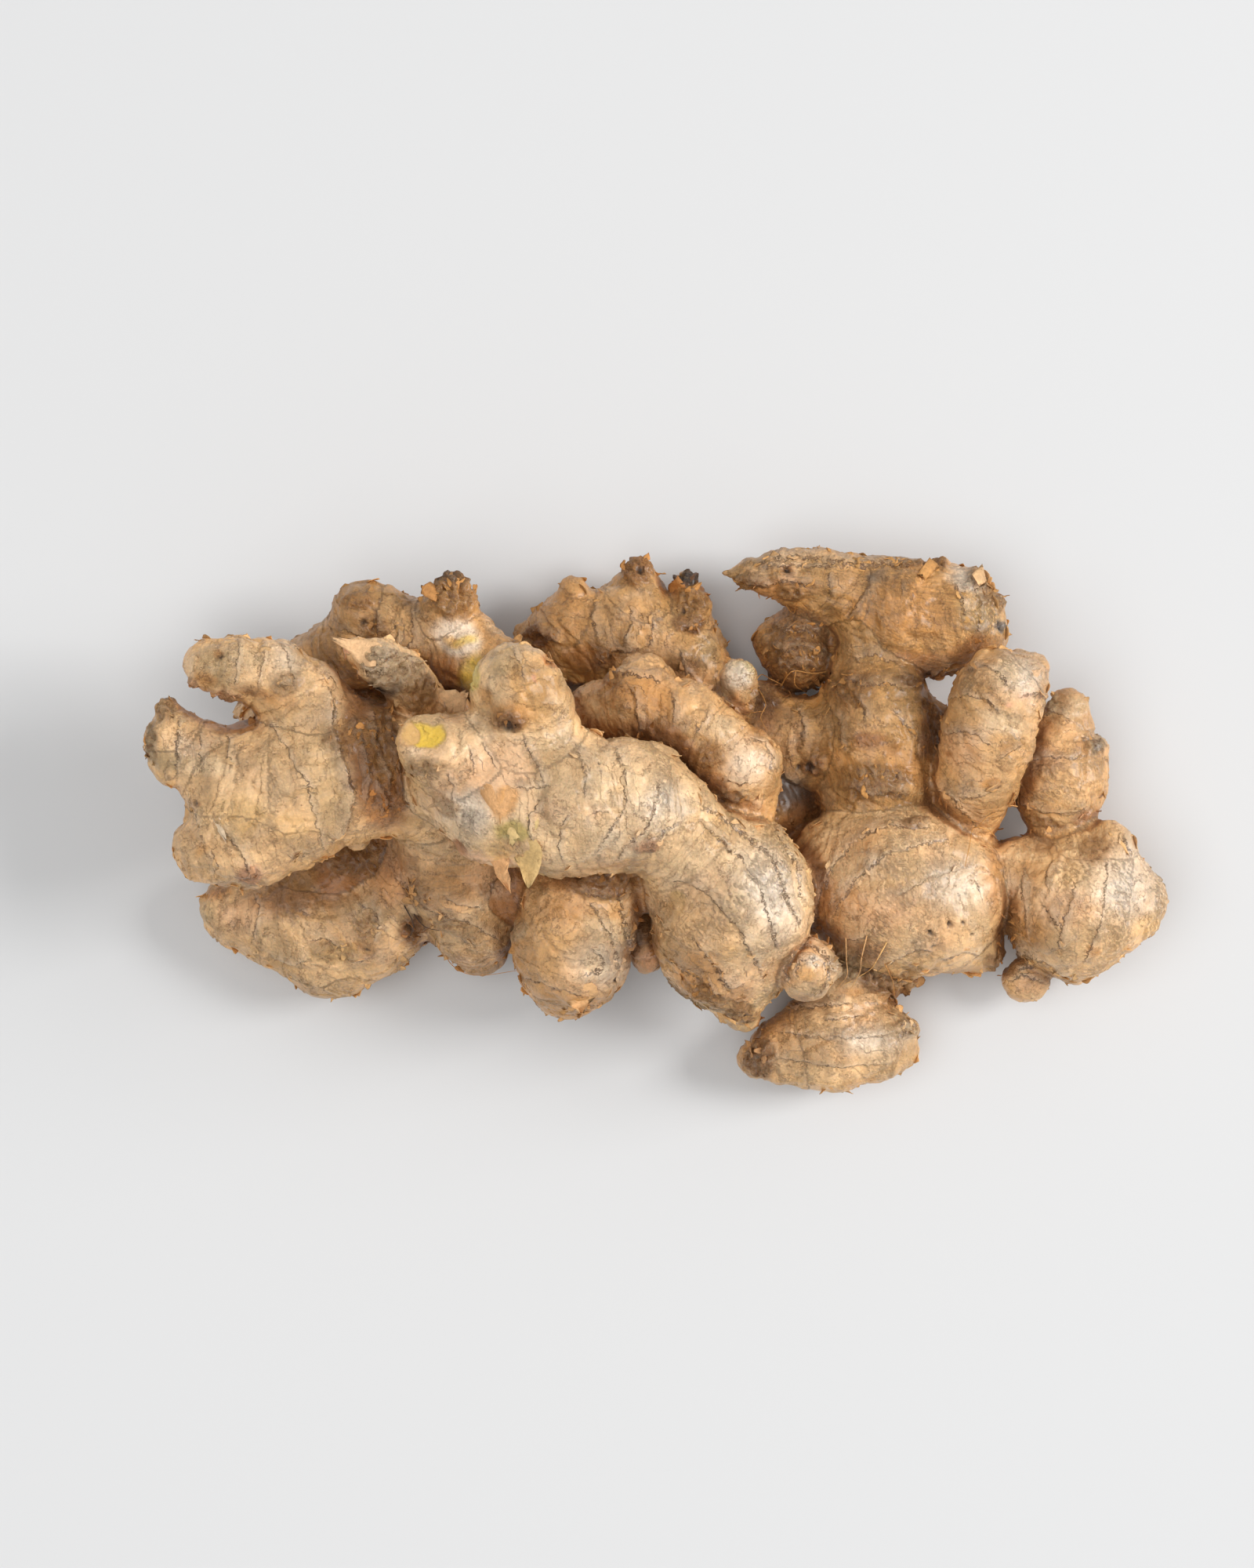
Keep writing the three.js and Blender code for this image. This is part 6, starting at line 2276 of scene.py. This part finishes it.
@dataclass
class RhizomeSkin:
    """The whole skin, grown from the lobes of all hands as one closed mesh.

    Attributes:
        hands: Every hand, in blending order.
        cut: The cut face.
        plan: The drawing that marks are placed on.
        cell: Edge of a cell of the first grid, in mm; it is halved once.
        fit: Takes layout millimetres to metres, once the skin is built.
        grown: The finished skin, once it is built.
    """

    hands: Sequence[Hand]
    cut: CutFace = field(default_factory=CutFace)
    plan: Plan = field(default_factory=Plan)
    cell: float = 1.1
    quick_cell: float = 1.7
    fit: LayoutFit | None = None
    grown: GrownSkin | None = None

    def build(self) -> bpy.types.Object:
        """Builds and dresses the skin.

        Returns:
            The skin.
        """
        lobes = [lobe for hand in self.hands for lobe in hand.lobes]
        grid = FieldGrid(lobes, self.cell)
        grid.refine()
        points, quads = grid.surface()
        self.fit = LayoutFit.onto_box(points, *CAD_BOX)
        mesh = bpy.data.meshes.new("ginger_skin")
        mesh.from_pydata(points, [], quads.tolist())
        mesh.update()
        normals = np.empty(len(points) * 3)
        mesh.vertex_normals.foreach_get("vector", normals)
        normals = normals.reshape(-1, 3)
        survey = SkinSurvey(self.hands, grid, self.plan).run(points, normals)
        marks = SkinMarks(self.hands, self.cut, survey)
        marks.lay_all()
        grown = points + normals * marks.height[:, None]
        grown[:, 2] = np.maximum(grown[:, 2], 0)
        mesh.vertices.foreach_set("co", self.fit.apply(grown).ravel())
        self._write_attributes(mesh, survey, marks)
        mesh.polygons.foreach_set("use_smooth", np.ones(len(mesh.polygons), bool))
        mesh.update()
        mesh.materials.append(SkinFinish().material())
        skin = bpy.data.objects.new("ginger_skin", mesh)
        bpy.context.scene.collection.objects.link(skin)
        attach(skin, BODY)
        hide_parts(CAD_NODE)
        self.grown = GrownSkin(mesh, marks, self.plan, self.fit)
        for hand in self.hands:
            log.info("%s: %d lobes, %d scars", hand.name, len(hand.lobes), len(hand.scars))
        log.info("skin: %d vertices, %d faces", len(points), len(quads))
        return skin

    def _write_attributes(self, mesh: bpy.types.Mesh, survey: SkinPoints, marks: SkinMarks) -> None:
        """Stores what the skin's finish reads on the mesh.

        Args:
            mesh: The skin's mesh.
            survey: What is known about each vertex.
            marks: The marks laid on it.
        """
        fibres = np.array([hand.fibres for hand in self.hands])[survey.hand]
        flaky = np.array([hand.flakes for hand in self.hands])[survey.hand]
        numbers = {
            "scar": marks.scar,
            "scar_strength": marks.scar_strength,
            "crust": marks.crust,
            "flesh": marks.flesh,
            "peel": marks.peel,
            "fibres": fibres,
            "flaky": flaky,
        }
        for name, values in numbers.items():
            mesh.attributes.new(name, "FLOAT", "POINT").data.foreach_set("value", values)
        for name, values in {"grain": survey.grain, "rings": survey.rings}.items():
            vectors = mesh.attributes.new(name, "FLOAT_VECTOR", "POINT")
            vectors.data.foreach_set("vector", values.ravel())
        store_tints(mesh, marks.tint)


@dataclass
class Studio:
    """Pale floor, soft light from the right and a camera straight above.

    Attributes:
        plan: The drawing; its eye is where the camera stands.
        fit: Takes layout millimetres to metres.
        lens: Focal length, in mm.
        sensor: Long side of the sensor, in mm.
        floor_side: Side of the floor, in metres.
        floor_tone: Brightness of the floor.
    """

    plan: Plan
    fit: LayoutFit
    lens: float = 85.0
    sensor: float = 36.0
    floor_side: float = 4.0
    floor_tone: float = 0.68

    def build(self) -> None:
        """Builds the floor, the lights and the camera."""
        self._floor()
        self._light("key", (2.2, 0.45, 1.95), 1.0, 47.0)
        self._light("side", (2.9, 0.4, 0.75), 0.9, 35.0)
        self._light("top", (-0.6, -0.25, 1.85), 1.6, 16.5)
        self._air()
        self._camera()

    def _floor(self) -> None:
        """Lays the floor under the piece."""
        half = self.floor_side / 2
        low = CAD_BOX[0].z
        corners = [(-half, -half, low), (half, -half, low), (half, half, low), (-half, half, low)]
        mesh = bpy.data.meshes.new("floor")
        mesh.from_pydata(corners, [], [(0, 1, 2, 3)])
        g = NodeGraph("floor_paper")
        tone = self.floor_tone
        shader = g.node("BsdfPrincipled", {"Base Color": (tone, tone, tone, 1.0), "Roughness": 0.7})
        mesh.materials.append(g.finish(shader))
        floor = bpy.data.objects.new("floor", mesh)
        bpy.context.scene.collection.objects.link(floor)

    def _light(self, name: str, place: tuple[float, float, float], side: float, power: float) -> None:
        """Hangs one square soft light that faces the piece.

        Args:
            name: The light's name.
            place: Where it hangs, in metres.
            side: Its side, in metres.
            power: Its power, in watts.
        """
        data = bpy.data.lights.new(name, "AREA")
        data.size = side
        data.energy = power
        light = bpy.data.objects.new(name, data)
        light.location = place
        light.rotation_euler = (-Vector(place)).to_track_quat("-Z", "Y").to_euler()
        bpy.context.scene.collection.objects.link(light)

    def _air(self) -> None:
        """Fills the room with even white light."""
        world = bpy.data.worlds.new("air")
        world.use_nodes = True
        background = world.node_tree.nodes["Background"]
        background.inputs["Color"].default_value = (0.98, 0.99, 1.0, 1.0)
        background.inputs["Strength"].default_value = 0.44
        scene = bpy.context.scene
        scene.world = world
        scene.view_settings.view_transform = "Standard"

    def _camera(self) -> None:
        """Stands the camera at the plan's eye, looking straight down."""
        data = bpy.data.cameras.new("camera")
        data.lens = self.lens
        data.sensor_width = self.sensor
        data.clip_start = 0.01
        camera = bpy.data.objects.new("camera", data)
        camera.location = self.fit.place((*self.plan.centre, self.plan.level + self.plan.eye))
        bpy.context.scene.collection.objects.link(camera)
        bpy.context.scene.camera = camera


def main() -> None:
    """Builds the piece and its studio, and reports each step."""
    logging.basicConfig(level=logging.INFO, format="%(name)s: %(message)s")
    hands = [
        HiddenCore(), RightHand(), CrownHand(), MiddleFingers(), BottomLobes(), UpperMiddle(),
        BackRight(), RightFingers(), BackLobes(), LeftHand(), LowerLeft(),
    ]
    rhizome = RhizomeSkin(hands)
    rhizome.build()
    DryTissue(rhizome.grown).build()
    Rootlets(rhizome.grown).build()
    Studio(rhizome.plan, rhizome.fit).build()
    log.info("studio: floor, three lights and camera")


if __name__ == "__main__":
    main()
